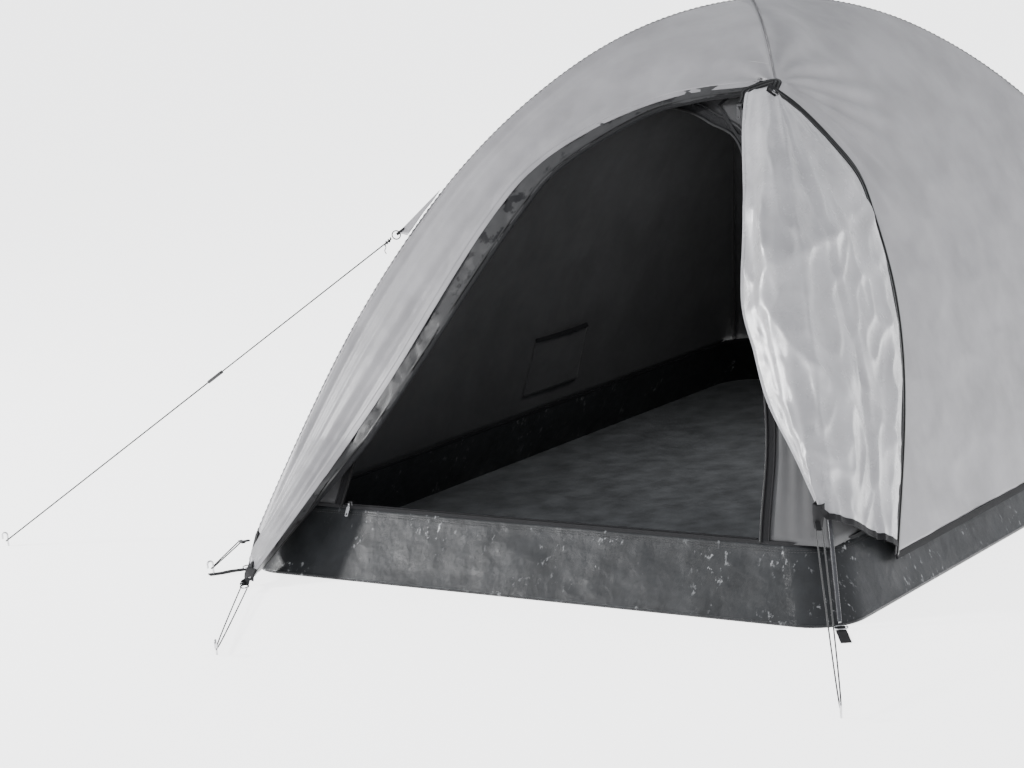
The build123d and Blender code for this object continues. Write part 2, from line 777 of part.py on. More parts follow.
def guy_route():
    """From the ring through the adjuster, round the peg and back into the adjuster."""
    side = GUY_SIDE * GUY_STRAND_GAP
    clear = GUY_LINE_DIRECTION * (PEG_WIRE / 2 + GUY_DIAMETER / 2 + 1.5)
    start = GUY_RING + GUY_LINE_DIRECTION * 5 + side
    end = ADJUSTER_CENTRE + GUY_LINE_DIRECTION * 8 - side
    return [start, GUY_FOOT + clear + side, GUY_FOOT + clear - side, end]


def make_adjuster():
    """Flat slider with a bore for each strand of the guy line."""
    plane = Plane(origin=ADJUSTER_CENTRE, x_dir=GUY_SIDE, z_dir=GUY_LINE_DIRECTION)
    body = fillet(Box(18, 7, ADJUSTER_LENGTH).edges().filter_by(Axis.Z), 2.5)
    for x in (-GUY_STRAND_GAP, GUY_STRAND_GAP):
        body -= Pos(x, 0, 0) * Cylinder(GUY_DIAMETER / 2 + 0.5, ADJUSTER_LENGTH + 2)
    return plane * body


def make_tip_strap():
    """Webbing loop from the flysheet's tip to its elastic, with a knotted tail."""
    run = TIP_LOOP - TIP
    frame = Plane(origin=TIP + run / 2, x_dir=run, z_dir=Vector(0, 0, 1).cross(run).cross(run) * -1)
    band = Pos(15, 0, 0) * Box(run.length - 34, 16, 1.6)
    window = Pos(run.length / 2 - 8, 0, 0) * Box(6, 11, 4)
    knot = Pos(run.length / 2 - 22, 9, 3) * Sphere(5)
    return frame * (band - window + knot)


def make_tip_binding():
    """Dark cap sewn over the front tip of the flysheet."""
    cap = Pos(0, 0, 2) * Box(34, 22, 16)
    pocket = Pos(0, 8, 4) * Box(60, 22, 20)
    return Pos(TIP.X - 2, TIP.Y - 10, 13) * Rot(0, 0, -20) * (cap - pocket)


def make_corner_hook():
    """Plastic hook that joins the left hem's webbing to its elastic."""
    toward = (CORNER_PEG + Vector(0, 0, 14) - CORNER_HOOK).normalized()
    frame = Plane(origin=CORNER_HOOK, x_dir=toward, z_dir=Vector(0, 0, 1))
    bar = Pos(-5.5, 0, 0) * Box(8, 20, 4)
    stem = Pos(-16, 0, 0) * Box(14, 8, 3)
    return frame * (bar + stem)


def make_door_tip():
    """Dark binding round the lower tip of the open door, with the loop for its elastic."""
    cap = Pos(625, -986, 196) * Rot(0, 0, 62) * Box(30, 9, 46)
    return cap


FLY_SLIDER_SIZE = (12, 9, 10)
FLY_SLIDER_PLACE = Pos(*(front_of(224, 894, FLY_GAP) + Vector(0, -3, 0)))


# ---------------------------------------------------------------- nodes
LOWER_POLE = ("front_left", "back_right")
UPPER_POLE = ("front_right", "back_left")


def build_nodes():
    """Every piece of the tent by the name of its node."""
    nodes = {"groundsheet": make_groundsheet()}
    nodes["inner_front_wall"] = make_inner_front()
    for side in ("left", "right", "back"):
        nodes[f"inner_{side}_wall"] = vault_panel(side, INNER_GAP, INNER_BOTTOM)
    nodes["inner_mesh_vent"] = make_vent()
    nodes["inner_door"] = make_inner_door()
    nodes["inner_zip_arch"] = make_inner_zip()
    nodes["inner_zip_track"] = make_sill_track()
    nodes["inner_zip_slider"] = Pos(*slider_centre()) * make_slider_body(SLIDER)
    nodes["inner_pull_tab"] = Pos(*slider_centre()) * make_pull_tab(SLIDER, 30, 30)
    nodes["storage_pocket"] = make_pocket()
    for corner in CORNERS:
        nodes[f"pole_{corner}"] = make_leg(corner)
        nodes[f"pole_sleeve_{corner}"] = make_sleeve(corner)
    nodes["ferrules_lower_pole"] = make_ferrules(LOWER_POLE)
    nodes["ferrules_upper_pole"] = make_ferrules(UPPER_POLE)
    nodes["shock_cord_lower_pole"] = make_shock_cords(LOWER_POLE)
    nodes["shock_cord_upper_pole"] = make_shock_cords(UPPER_POLE)
    nodes["pole_pins"] = make_pins()
    nodes["corner_rings"] = make_rings()
    nodes["corner_straps"] = make_corner_straps()
    nodes["crossing_tie"] = make_crossing_tie()
    nodes["fly_front_panel"] = make_fly_front()
    nodes["fly_front_foot"] = make_fly_foot()
    nodes["fly_right_panel"] = make_fly_right()
    for side in ("left", "back"):
        nodes[f"fly_{side}_panel"] = vault_panel(side, FLY_GAP, FLY_HEM_HEIGHT)
    nodes["fly_storm_flap"] = make_storm_flap()
    nodes["fly_storm_flap_foot"] = make_flap_foot()
    nodes["fly_door"] = make_fly_door()
    nodes["fly_zip_left"] = make_fly_zip_left()
    nodes["fly_zip_right"] = make_fly_zip_right()
    nodes["fly_zip_slider"] = FLY_SLIDER_PLACE * make_slider_body(FLY_SLIDER_SIZE)
    nodes["fly_pull_tab"] = FLY_SLIDER_PLACE * make_pull_tab(FLY_SLIDER_SIZE, 28, 4)
    nodes["fly_hem_binding"] = make_hem()
    nodes["fly_tip_binding"] = make_tip_binding()
    nodes["fly_tip_strap"] = make_tip_strap()
    nodes["fly_door_tip"] = make_door_tip()
    nodes["fly_corner_hook"] = make_corner_hook()
    nodes["guy_tabs"] = make_guy_tabs()
    nodes["guy_ring"] = make_guy_ring()
    nodes["guy_line_adjuster"] = make_adjuster()
    nodes["guy_line"] = make_cord("guy_line", guy_route(), GUY_DIAMETER)
    nodes["tip_elastic"] = make_cord("tip_elastic", tip_elastic_route(), ELASTIC_DIAMETER)
    nodes["corner_elastic"] = make_cord("corner_elastic", corner_elastic_route(), ELASTIC_DIAMETER)
    nodes["door_elastic"] = make_cord("door_elastic", door_elastic_route(), ELASTIC_DIAMETER)
    nodes["pegs"] = [
        make_peg(TIP_PEG, TIP_LOOP),
        make_peg(CORNER_PEG, CORNER_HOOK),
        make_peg(DOOR_PEG, DOOR_LOOP),
        make_peg(GUY_PEG, GUY_RING),
    ]
    return nodes


os.makedirs("parts", exist_ok=True)
for node_name, shape in build_nodes().items():
    if isinstance(shape, list):
        shape = Compound(children=shape)
    export_step(shape, f"parts/{node_name}.step")
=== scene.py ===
"""Crossed pole dome tent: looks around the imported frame, in metres."""
from math import atan2, copysign, cos, hypot, pi, radians, sin

import bpy
from mathutils import Matrix, Vector, noise


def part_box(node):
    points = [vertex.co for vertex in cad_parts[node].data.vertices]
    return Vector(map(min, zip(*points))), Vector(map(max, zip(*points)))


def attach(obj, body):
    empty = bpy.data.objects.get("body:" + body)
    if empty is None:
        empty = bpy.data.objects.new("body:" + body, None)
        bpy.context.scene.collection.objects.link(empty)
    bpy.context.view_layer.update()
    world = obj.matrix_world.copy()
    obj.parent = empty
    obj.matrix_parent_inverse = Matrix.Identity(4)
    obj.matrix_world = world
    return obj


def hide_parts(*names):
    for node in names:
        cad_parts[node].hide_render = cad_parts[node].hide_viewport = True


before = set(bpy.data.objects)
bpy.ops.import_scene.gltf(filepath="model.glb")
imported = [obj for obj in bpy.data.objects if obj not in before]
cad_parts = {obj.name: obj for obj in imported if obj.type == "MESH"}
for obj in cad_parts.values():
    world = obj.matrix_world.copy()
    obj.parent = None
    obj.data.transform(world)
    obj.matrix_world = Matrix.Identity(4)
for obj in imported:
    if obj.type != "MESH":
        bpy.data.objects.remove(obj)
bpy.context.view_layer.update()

ROOT = "tent"

# ------------------------------------------------------------------ camera
YAW, PITCH, ROLL = radians(34.553), radians(10.548), radians(-4.168)
CAMERA_PLACE = (3.0107, -5.3978, 1.4113)
LENS = 98.4


def add_camera():
    right = Vector((cos(YAW), sin(YAW), 0))
    up = Vector((-sin(YAW) * sin(PITCH), cos(YAW) * sin(PITCH), cos(PITCH)))
    ahead = Vector((-sin(YAW) * cos(PITCH), cos(YAW) * cos(PITCH), -sin(PITCH)))
    x = right * cos(ROLL) + up * sin(ROLL)
    y = up * cos(ROLL) - right * sin(ROLL)
    data = bpy.data.cameras.new("camera")
    data.lens = LENS
    data.sensor_width = 36
    data.clip_start = 0.05
    data.clip_end = 600
    camera = bpy.data.objects.new("camera", data)
    turn = Matrix((x, y, -ahead)).transposed().to_4x4()
    camera.matrix_world = Matrix.Translation(CAMERA_PLACE) @ turn
    bpy.context.scene.collection.objects.link(camera)
    bpy.context.scene.camera = camera


# ------------------------------------------------------------------ shape of the dome
HALF_WIDTH, HALF_LENGTH = 0.700, 1.050
HALF_DIAGONAL = hypot(HALF_WIDTH, HALF_LENGTH)
REACH = HALF_DIAGONAL - 0.022
ACROSS, ALONG = HALF_WIDTH / HALF_DIAGONAL, HALF_LENGTH / HALF_DIAGONAL
CROWN = 1.060
LEAN_POWER = 0.85
SECTIONS = 4
TRAY_TOP = 0.130
INNER_GAP = -0.012
FLY_GAP = 0.021
FLAP_GAP = 0.028
HEM = 0.076


def leans(base):
    return [base * sin(pi / 2 * i / SECTIONS) ** LEAN_POWER for i in range(SECTIONS + 1)]


def drop_and_run(angles):
    drop = sum((cos(a) - cos(b)) / (b - a) for a, b in zip(angles, angles[1:]))
    run = sum((sin(b) - sin(a)) / (b - a) for a, b in zip(angles, angles[1:]))
    return drop, run


def pole_table(height):
    """Reach, height and slope at even steps down one leg of a pole."""
    low, high = radians(30), radians(85)
    for _ in range(60):
        middle = (low + high) / 2
        drop, run = drop_and_run(leans(middle))
        if drop / run < height / REACH:
            low = middle
        else:
            high = middle
    angles = leans(low)
    piece = REACH / drop_and_run(angles)[1]
    table = [(0.0, height, 0.0)]
    x, z = 0.0, height
    for a, b in zip(angles, angles[1:]):
        radius = piece / (b - a)
        for i in range(1, 41):
            c = a + (b - a) * i / 40
            table.append((x + radius * (sin(c) - sin(a)), z - radius * (cos(a) - cos(c)), c))
        x, z = table[-1][:2]
    return table


POLE_LINE = pole_table(CROWN)
LEVELS = {}


def level(gap):
    """The pole line moved outward by gap, as reach and height."""
    key = round(gap, 5)
    if key not in LEVELS:
        LEVELS[key] = [(r + gap * sin(a), z + gap * cos(a)) for r, z, a in POLE_LINE]
    return LEVELS[key]


def reach_at(z, gap):
    line = level(gap)
    if z >= line[0][1]:
        return 0.0
    low, high = 0, len(line) - 1
    while high - low > 1:
        middle = (low + high) // 2
        if line[middle][1] > z:
            low = middle
        else:
            high = middle
    (r0, z0), (r1, z1) = line[low], line[high]
    return r0 + (r1 - r0) * (z0 - z) / (z0 - z1)


def front(x, z, gap):
    return Vector((x, -ALONG * reach_at(z, gap), z))


def back(x, z, gap):
    return Vector((x, ALONG * reach_at(z, gap), z))


def right(y, z, gap):
    return Vector((ACROSS * reach_at(z, gap), y, z))


def left(y, z, gap):
    return Vector((-ACROSS * reach_at(z, gap), y, z))


CORNERS = {"front_left": (-1, -1), "front_right": (1, -1), "back_right": (1, 1), "back_left": (-1, 1)}


def ridge(corner, z, gap):
    sx, sy = CORNERS[corner]
    r = reach_at(z, gap)
    return Vector((sx * ACROSS * r, sy * ALONG * r, z))


def ridge_line(corner, top, bottom, gap, steps=60):
    """Points along a ridge at even lengths, from the height top down to bottom."""
    crown = level(gap)[0][1]
    dense = []
    for _, z in level(gap):
        if bottom <= z <= top:
            dense.append(ridge(corner, min(z, crown), gap))
    dense = [ridge(corner, top, gap)] + dense + [ridge(corner, bottom, gap)]
    return [along(dense, i / steps) for i in range(steps + 1)]


def along(points, share):
    """Point at a share of the length of a run of points."""
    lengths = [0.0]
    for a, b in zip(points, points[1:]):
        lengths.append(lengths[-1] + (b - a).length)
    target = share * lengths[-1]
    for i in range(1, len(points)):
        if lengths[i] >= target or i == len(points) - 1:
            part = lengths[i] - lengths[i - 1]
            t = 0.0 if part < 1e-9 else (target - lengths[i - 1]) / part
            return points[i - 1].lerp(points[i], min(max(t, 0.0), 1.0))


def smooth(points, per_run=12):
    """Even, smooth line through points."""
    points = [Vector(p) for p in points]
    padded = [2 * points[0] - points[1]] + points + [2 * points[-1] - points[-2]]
    dense = []
    for a, b, c, d in zip(padded, padded[1:], padded[2:], padded[3:]):
        for i in range(per_run):
            t = i / per_run
            dense.append(0.5 * (2 * b + (c - a) * t + (2 * a - 5 * b + 4 * c - d) * t * t
                                + (3 * b - a - 3 * c + d) * t ** 3))
    dense.append(points[-1])
    return dense


# ------------------------------------------------------------------ outlines, as part.py has them
FLY_ARCH = [(-.555, .170), (-.416, .402), (-.284, .687), (-.212, .794), (-.095, .871),
            (.057, .922), (.240, .940)]
FLAP_BAND = [(-.490, .178), (-.340, .430), (-.209, .688), (-.144, .786), (-.001, .876),
             (.110, .904), (.222, .916)]
FLY_ZIP_SIDE = [(-.465, .932), (-.418, .882), (-.378, .806), (-.353, .736), (-.376, .660), (-.440, .500),
                (-.560, .320), (-.780, .076)]
INNER_ARCH = [(-.494, .131), (-.451, .375), (-.279, .775), (-.141, .865), (0, .893), (.141, .865), (.279, .775),
              (.451, .375), (.494, .131)]
DOOR_FREE_EDGE = [(.234, .906), (.320, .728), (.376, .553), (.426, .467), (.475, .382),
                  (.546, .299), (.611, .217)]
TIP = Vector((-.600, -1.152, .018))
TIP_INSIDE = Vector((-.632, -1.062, .016))
FOOT_TOP = .262


def flat(points, per_run=12):
    return smooth([(a, b, 0) for a, b in points], per_run)


def above(points, height):
    """The part of a rising outline above a height, starting exactly on it."""
    kept = []
    for a, b in zip(points, points[1:]):
        if a.y < height <= b.y:
            kept.append(a.lerp(b, (height - a.y) / (b.y - a.y)))
        if b.y >= height:
            kept.append(b)
    return kept


# ------------------------------------------------------------------ mesh makers
def link(name, data):
    obj = bpy.data.objects.new(name, data)
    bpy.context.scene.collection.objects.link(obj)
    return obj


def solid_object(name, verts, faces, material, sharp=None):
    """Object from points and faces, shaded smooth except over edges sharper than an angle."""
    mesh = bpy.data.meshes.new(name)
    mesh.from_pydata(verts, [], faces)
    if sharp:
        for poly in mesh.polygons:
            poly.use_smooth = True
        mesh.set_sharp_from_angle(angle=radians(sharp))
        mesh.validate()
    obj = link(name, mesh)
    obj.data.materials.append(material)
    return obj


def thicken(obj, thickness, offset=-1):
    solid = obj.modifiers.new("thickness", "SOLIDIFY")
    solid.thickness = thickness
    solid.offset = offset


def heading_at(points, i):
    """Direction of a line of points at one of them."""
    return (points[min(i + 1, len(points) - 1)] - points[max(i - 1, 0)]).normalized()


def shifted(points, normals, aside, lift):
    """The line moved sideways in its surface, and lifted off it."""
    moved = []
    for i, p in enumerate(points):
        side = heading_at(points, i).cross(normals[i]).normalized()
        moved.append(p + side * aside + normals[i] * lift)
    return moved


def ring_faces(rows, sides):
    """Faces between neighbouring rings of points."""
    faces = []
    for i in range(rows - 1):
        for k in range(sides):
            a, b = i * sides + k, i * sides + (k + 1) % sides
            faces.append((a, b, b + sides, a + sides))
    return faces


def capped_faces(rows, sides):
    last = (rows - 1) * sides
    return ring_faces(rows, sides) + [tuple(range(sides - 1, -1, -1)), tuple(last + k for k in range(sides))]


def grid_normals(grid):
    rows, columns = len(grid), len(grid[0])
    normals = []
    for i in range(rows):
        row = []
        for j in range(columns):
            down = grid[min(i + 1, rows - 1)][j] - grid[max(i - 1, 0)][j]
            over = grid[i][min(j + 1, columns - 1)] - grid[i][max(j - 1, 0)]
            n = down.cross(over)
            row.append(n.normalized() if n.length > 1e-12 else Vector((0, 0, 1)))
        normals.append(row)
    return normals


def sheet_from(name, grid, material, bump=None, thickness=.0008, flip=False, closed=False):
    """Thin sheet through a grid of points; bump(i, j, point) moves it along its normal."""
    rows, columns = len(grid), len(grid[0])
    normals = grid_normals(grid)
    sign = -1 if flip else 1
    verts = []
    for i in range(rows):
        for j in range(columns):
            p = grid[i][j]
            if bump:
                p = p + normals[i][j] * sign * bump(i / (rows - 1), j / (columns - 1), p)
            verts.append(p)
    faces = []
    for i in range(rows - 1):
        for j in range(columns - 1):
            a = i * columns + j
            quad = (a, a + columns, a + columns + 1, a + 1)
            faces.append(tuple(reversed(quad)) if flip else quad)
        if closed:
            a = i * columns + columns - 1
            b = i * columns
            quad = (a, a + columns, b + columns, b)
            faces.append(tuple(reversed(quad)) if flip else quad)
    mesh = bpy.data.meshes.new(name)
    mesh.from_pydata(verts, [], faces)
    uv = mesh.uv_layers.new(name="cloth")
    over = sum((grid[rows // 2][j + 1] - grid[rows // 2][j]).length for j in range(columns - 1))
    down = sum((grid[i + 1][columns // 2] - grid[i][columns // 2]).length for i in range(rows - 1))
    for poly in mesh.polygons:
        poly.use_smooth = True
        for k in poly.loop_indices:
            v = mesh.loops[k].vertex_index
            uv.data[k].uv = ((v % columns) / (columns - 1) * over, (v // columns) / (rows - 1) * down)
    mesh.validate()
    obj = link(name, mesh)
    obj.data.materials.append(material)
    if thickness:
        thicken(obj, thickness, 0)
    return obj


def ruled(lines_a, lines_b, rows, columns, place):
    """Grid of points between two outlines that are matched by their length."""
    grid = []
    for i in range(rows):
        t = i / (rows - 1)
        a, b = along(lines_a, t), along(lines_b, t)
        grid.append([place(a.lerp(b, j / (columns - 1))) for j in range(columns)])
    return grid


def ribbon(name, points, normals, width, thickness, material):
    """Flat tape along a line of points, lying square to the given normals."""
    verts = []
    for i, p in enumerate(points):
        side = heading_at(points, i).cross(normals[i]).normalized() * width / 2
        top = normals[i].normalized() * thickness / 2
        verts += [p - side + top, p + top * 1.3, p + side + top, p + side - top, p - top * 1.3, p - side - top]
    return solid_object(name, verts, capped_faces(len(points), 6), material, 50)


def tube(name, points, diameter, material, sides=10):
    """Solid round strand along a line of points."""
    verts = []
    axis = Vector((0, 0, 1))
    for i, p in enumerate(points):
        heading = heading_at(points, i)
        if abs(heading.dot(axis)) > .95:
            axis = Vector((1, 0, 0))
        u = heading.cross(axis).normalized()
        w = heading.cross(u)
        for k in range(sides):
            turn = 2 * pi * k / sides
            verts.append(p + (u * cos(turn) + w * sin(turn)) * diameter / 2)
        axis = w
    return solid_object(name, verts, capped_faces(len(points), sides), material, 60)


def stitches(name, points, normals, material, pitch=.0045, length=.003, width=.0007):
    """Row of sewn stitches along a line: small raised dashes in one mesh."""
    total = sum((b - a).length for a, b in zip(points, points[1:]))
    count = int(total / pitch)
    verts, faces = [], []
    for k in range(count):
        share = (k + .5) / count
        p = along_fast(points, share)
        q = along_fast(points, min(share + .002, 1))
        heading = (q - p).normalized() if (q - p).length > 1e-9 else Vector((1, 0, 0))
        n = normals[min(int(share * len(normals)), len(normals) - 1)]
        side = heading.cross(n).normalized() * width / 2
        lift = n * .0006
        base = len(verts)
        ahead = heading * length / 2
        for corner in (-ahead - side, ahead - side, ahead + side, -ahead + side):
            verts.append(p + corner)
        for corner in (-ahead * .6, ahead * .6):
            verts.append(p + corner + lift)
        for face in ((0, 1, 5, 4), (2, 3, 4, 5), (1, 2, 5), (3, 0, 4), (3, 2, 1, 0)):
            faces.append(tuple(base + corner for corner in face))
    return solid_object(name, verts, faces, material)


LENGTHS = {}


def along_fast(points, share):
    """Same as along, with the lengths of the line kept between calls."""
    key = id(points)
    if key not in LENGTHS:
        lengths = [0.0]
        for a, b in zip(points, points[1:]):
            lengths.append(lengths[-1] + (b - a).length)
        LENGTHS[key] = (points, lengths)
    lengths = LENGTHS[key][1]
    target = share * lengths[-1]
    low, high = 0, len(points) - 1
    while high - low > 1:
        middle = (low + high) // 2
        if lengths[middle] > target:
            high = middle
        else:
            low = middle
    part = lengths[high] - lengths[low]
    return points[low].lerp(points[high], (target - lengths[low]) / part if part > 1e-9 else 0)


# ------------------------------------------------------------------ materials
def shader(name, color, roughness, metallic=0.0, specular=0.5, sheen=0.0, coat=0.0, coat_roughness=0.2):
    material = bpy.data.materials.new(name)
    material.use_nodes = True
    node = material.node_tree.nodes["Principled BSDF"]
    node.inputs["Base Color"].default_value = (*color, 1)
    node.inputs["Roughness"].default_value = roughness
    node.inputs["Metallic"].default_value = metallic
    node.inputs["Specular IOR Level"].default_value = specular
    node.inputs["Sheen Weight"].default_value = sheen
    node.inputs["Coat Weight"].default_value = coat
    node.inputs["Coat Roughness"].default_value = coat_roughness
    return material, material.node_tree, node


def add(tree, kind, **values):
    node = tree.nodes.new(kind)
    for key, value in values.items():
        setattr(node, key, value)
    return node


def coordinates(tree, use_uv=False):
    node = add(tree, "ShaderNodeTexCoord")
    return node.outputs["UV" if use_uv else "Object"]


def noise_node(tree, source, scale, detail=4.0, roughness=.55, stretch=None):
    if stretch:
        mapping = add(tree, "ShaderNodeMapping")
        mapping.inputs["Scale"].default_value = stretch
        tree.links.new(source, mapping.inputs["Vector"])
        source = mapping.outputs["Vector"]
    node = add(tree, "ShaderNodeTexNoise")
    node.inputs["Scale"].default_value = scale
    node.inputs["Detail"].default_value = detail
    node.inputs["Roughness"].default_value = roughness
    tree.links.new(source, node.inputs["Vector"])
    return node.outputs["Fac"]


def ramp(tree, source, low, high, at=(.35, .65)):
    node = add(tree, "ShaderNodeValToRGB")
    node.color_ramp.elements[0].position = at[0]
    node.color_ramp.elements[1].position = at[1]
    node.color_ramp.elements[0].color = (*low, 1)
    node.color_ramp.elements[1].color = (*high, 1)
    tree.links.new(source, node.inputs["Fac"])
    return node.outputs["Color"]


def spread(tree, source, low, high):
    node = add(tree, "ShaderNodeMapRange")
    node.inputs["To Min"].default_value = low
    node.inputs["To Max"].default_value = high
    tree.links.new(source, node.inputs["Value"])
    return node.outputs["Result"]


def scaled(color, factor):
    return tuple(min(c * factor, 1) for c in color)


def paint(tree, node, source, low, high, at=(.35, .65)):
    """Base colour that varies between two tones."""
    tree.links.new(ramp(tree, source, low, high, at), node.inputs["Base Color"])


def polish(tree, node, source, low, high):
    """Roughness that varies between two values."""
    tree.links.new(spread(tree, source, low, high), node.inputs["Roughness"])


def diagonal_wave(tree, source, pitch, distortion=0.0):
    wave = add(tree, "ShaderNodeTexWave", wave_type="BANDS", bands_direction="DIAGONAL")
    wave.inputs["Scale"].default_value = .32 / pitch
    wave.inputs["Distortion"].default_value = distortion
    tree.links.new(source, wave.inputs["Vector"])
    return wave.outputs["Fac"]


def bump_chain(tree, shader_node, layers):
    """Bump nodes in a row; each layer is a height, its distance and strength."""
    last = None
    for height, distance, strength in layers:
        node = add(tree, "ShaderNodeBump")
        node.inputs["Distance"].default_value = distance
        node.inputs["Strength"].default_value = strength
        tree.links.new(height, node.inputs["Height"])
        if last:
            tree.links.new(last, node.inputs["Normal"])
        last = node.outputs["Normal"]
    tree.links.new(last, shader_node.inputs["Normal"])


def weave_height(tree, source, pitch):
    """Threads crossing at a pitch, from two bands of waves."""
    join = add(tree, "ShaderNodeMath", operation="MAXIMUM")
    for slot, direction in enumerate(("X", "Y")):
        wave = add(tree, "ShaderNodeTexWave", wave_type="BANDS", bands_direction=direction, wave_profile="SIN")
        wave.inputs["Scale"].default_value = pi * pi / (20 * pitch)
        wave.inputs["Distortion"].default_value = 0
        tree.links.new(source, wave.inputs["Vector"])
        tree.links.new(wave.outputs["Fac"], join.inputs[slot])
    return join.outputs[0]


def cracked_height(tree, source, scale, detail=2.0):
    """Heights of sharp crossing creases, as in crumpled film, and of the soft bends between them."""
    bend = noise_node(tree, source, scale * .5, 3)
    warp = add(tree, "ShaderNodeTexNoise")
    warp.inputs["Scale"].default_value = scale * .8
    warp.inputs["Detail"].default_value = detail
    shrink = add(tree, "ShaderNodeVectorMath", operation="SCALE")
    shrink.inputs["Scale"].default_value = .35 / scale
    moved = add(tree, "ShaderNodeVectorMath", operation="ADD")
    cells = add(tree, "ShaderNodeTexVoronoi", feature="F1", distance="EUCLIDEAN")
    cells.inputs["Scale"].default_value = scale
    tree.links.new(source, warp.inputs["Vector"])
    tree.links.new(warp.outputs["Color"], shrink.inputs[0])
    tree.links.new(source, moved.inputs[0])
    tree.links.new(shrink.outputs["Vector"], moved.inputs[1])
    tree.links.new(moved.outputs["Vector"], cells.inputs["Vector"])
    return cells.outputs["Distance"], bend


def cloth_material(name, color, roughness, pitch=.0012, sheen=.1, metallic=0.0, crease=.002, crease_scale=18,
                   weave=.35, coat=0.0, specular=.5):
    """Woven, coated tent cloth: threads, soft creases and a slightly uneven colour."""
    material, tree, node = shader(name, color, roughness, metallic, specular, sheen, coat, .3)
    source = coordinates(tree)
    paint(tree, node, noise_node(tree, source, 9, 5), scaled(color, .88), scaled(color, 1.12))
    polish(tree, node, noise_node(tree, source, 40, 3), roughness - .08, roughness + .08)
    cracks, bend = cracked_height(tree, source, crease_scale)
    threads = weave_height(tree, coordinates(tree, True), pitch)
    bump_chain(tree, node, [(bend, crease, .8), (cracks, crease * .5, .6), (threads, pitch * .12, weave)])
    return material


def facing_material(name, dark, light):
    """Thin coated facing, crumpled, with shiny flats; darker blotches painted into its colour stand for the
    shade in its folds.
    """
    material, tree, node = shader(name, light, .42, 0, .22, 0, .1, .2)
    source = coordinates(tree)
    cracks, bend = cracked_height(tree, source, 18, 4)
    # Painted shade: noise blotches darken the colour where the folds would be shaded.
    paint(tree, node, noise_node(tree, source, 24, 5, .6), dark, light, (.41, .47))
    polish(tree, node, noise_node(tree, source, 60, 3), .25, .55)
    threads = weave_height(tree, coordinates(tree, True), .0011)
    bump_chain(tree, node, [(bend, .005, .6), (cracks, .003, .6), (threads, .0001, .3)])
    return material


def strap_material(name, color, pitch=.0018):
    """Tape or webbing with slanting ribs."""
    material, tree, node = shader(name, color, .75, 0, .2, .02)
    source = coordinates(tree)
    ribs = diagonal_wave(tree, source, pitch, .6)
    # Painted shade and highlight: the colour follows the rib heights, darker in the grooves and lighter on the
    # crests.
    paint(tree, node, ribs, scaled(color, .6), scaled(color, 1.5), (.2, .8))
    bump_chain(tree, node, [(ribs, .0004, .8), (noise_node(tree, source, 900, 2), .0002, .4)])
    return material


def metal_material(name, color, roughness):
    material, tree, node = shader(name, color, roughness, 1.0)
    source = coordinates(tree)
    polish(tree, node, noise_node(tree, source, 220, 4), roughness - .1, roughness + .12)
    paint(tree, node, noise_node(tree, source, 60, 4), scaled(color, .8), color)
    bump_chain(tree, node, [(noise_node(tree, source, 500, 3), .0001, .3)])
    return material


def plastic_material(name, color, roughness):
    material, tree, node = shader(name, color, roughness)
    source = coordinates(tree)
    paint(tree, node, noise_node(tree, source, 80, 4), scaled(color, .8), scaled(color, 1.2))
    polish(tree, node, noise_node(tree, source, 150, 3), roughness - .08, roughness + .1)
    bump_chain(tree, node, [(noise_node(tree, source, 700, 2), .00012, .4)])
    return material


def cord_material(name, color, pitch=.0022):
    """Braid with slanting strands."""
    material, tree, node = shader(name, color, .7, 0, .35, .25)
    strands = diagonal_wave(tree, coordinates(tree), pitch)
    # Painted shade and highlight: the colour follows the strand heights, darker between the strands and lighter
    # on their crests.
    paint(tree, node, strands, scaled(color, .5), scaled(color, 1.6), (.3, .7))
    bump_chain(tree, node, [(strands, .0005, .8)])
    return material


def tarpaulin_material(name, color, roughness, crumple, painted_glint):
    """Laminated tape fabric: flat crossing tapes under a shiny, crumpled film."""
    material, tree, node = shader(name, color, roughness, 0, .4, 0, .12, .15)
    source = coordinates(tree)
    base = ramp(tree, noise_node(tree, source, 14, 6, .65), scaled(color, .75), scaled(color, 1.35))
    # Painted highlight: short light streaks, in patches, are mixed into the base colour to stand for glints on
    # the film; the last argument sets how strong these painted glints are.
    streaks = noise_node(tree, source, 95, 4, .6, (1, 1, .38))
    thin = ramp(tree, streaks, (0, 0, 0), (1, 1, 1), (.60, .70))
    patch = ramp(tree, noise_node(tree, source, 11, 4), (0, 0, 0), (painted_glint,) * 3, (.50, .68))
    amount = add(tree, "ShaderNodeMath", operation="MULTIPLY")
    tree.links.new(thin, amount.inputs[0])
    tree.links.new(patch, amount.inputs[1])
    mixed = add(tree, "ShaderNodeMix", data_type="RGBA")
    colour_inputs = [i for i in mixed.inputs if i.type == "RGBA"]
    tree.links.new(amount.outputs[0], mixed.inputs["Factor"])
    tree.links.new(base, colour_inputs[0])
    colour_inputs[1].default_value = (.42, .43, .44, 1)
    tree.links.new([o for o in mixed.outputs if o.type == "RGBA"][0], node.inputs["Base Color"])
    polish(tree, node, noise_node(tree, source, 30, 5), roughness - .1, roughness + .16)
    cracks, bend = cracked_height(tree, source, 26, 4)
    small, _ = cracked_height(tree, source, 75, 3)
    tapes = weave_height(tree, coordinates(tree, True), .0022)
    bump_chain(tree, node, [(bend, crumple * 2, .6), (cracks, crumple, .4), (small, crumple * .3, .4),
                            (tapes, .00018, .4)])
    return material


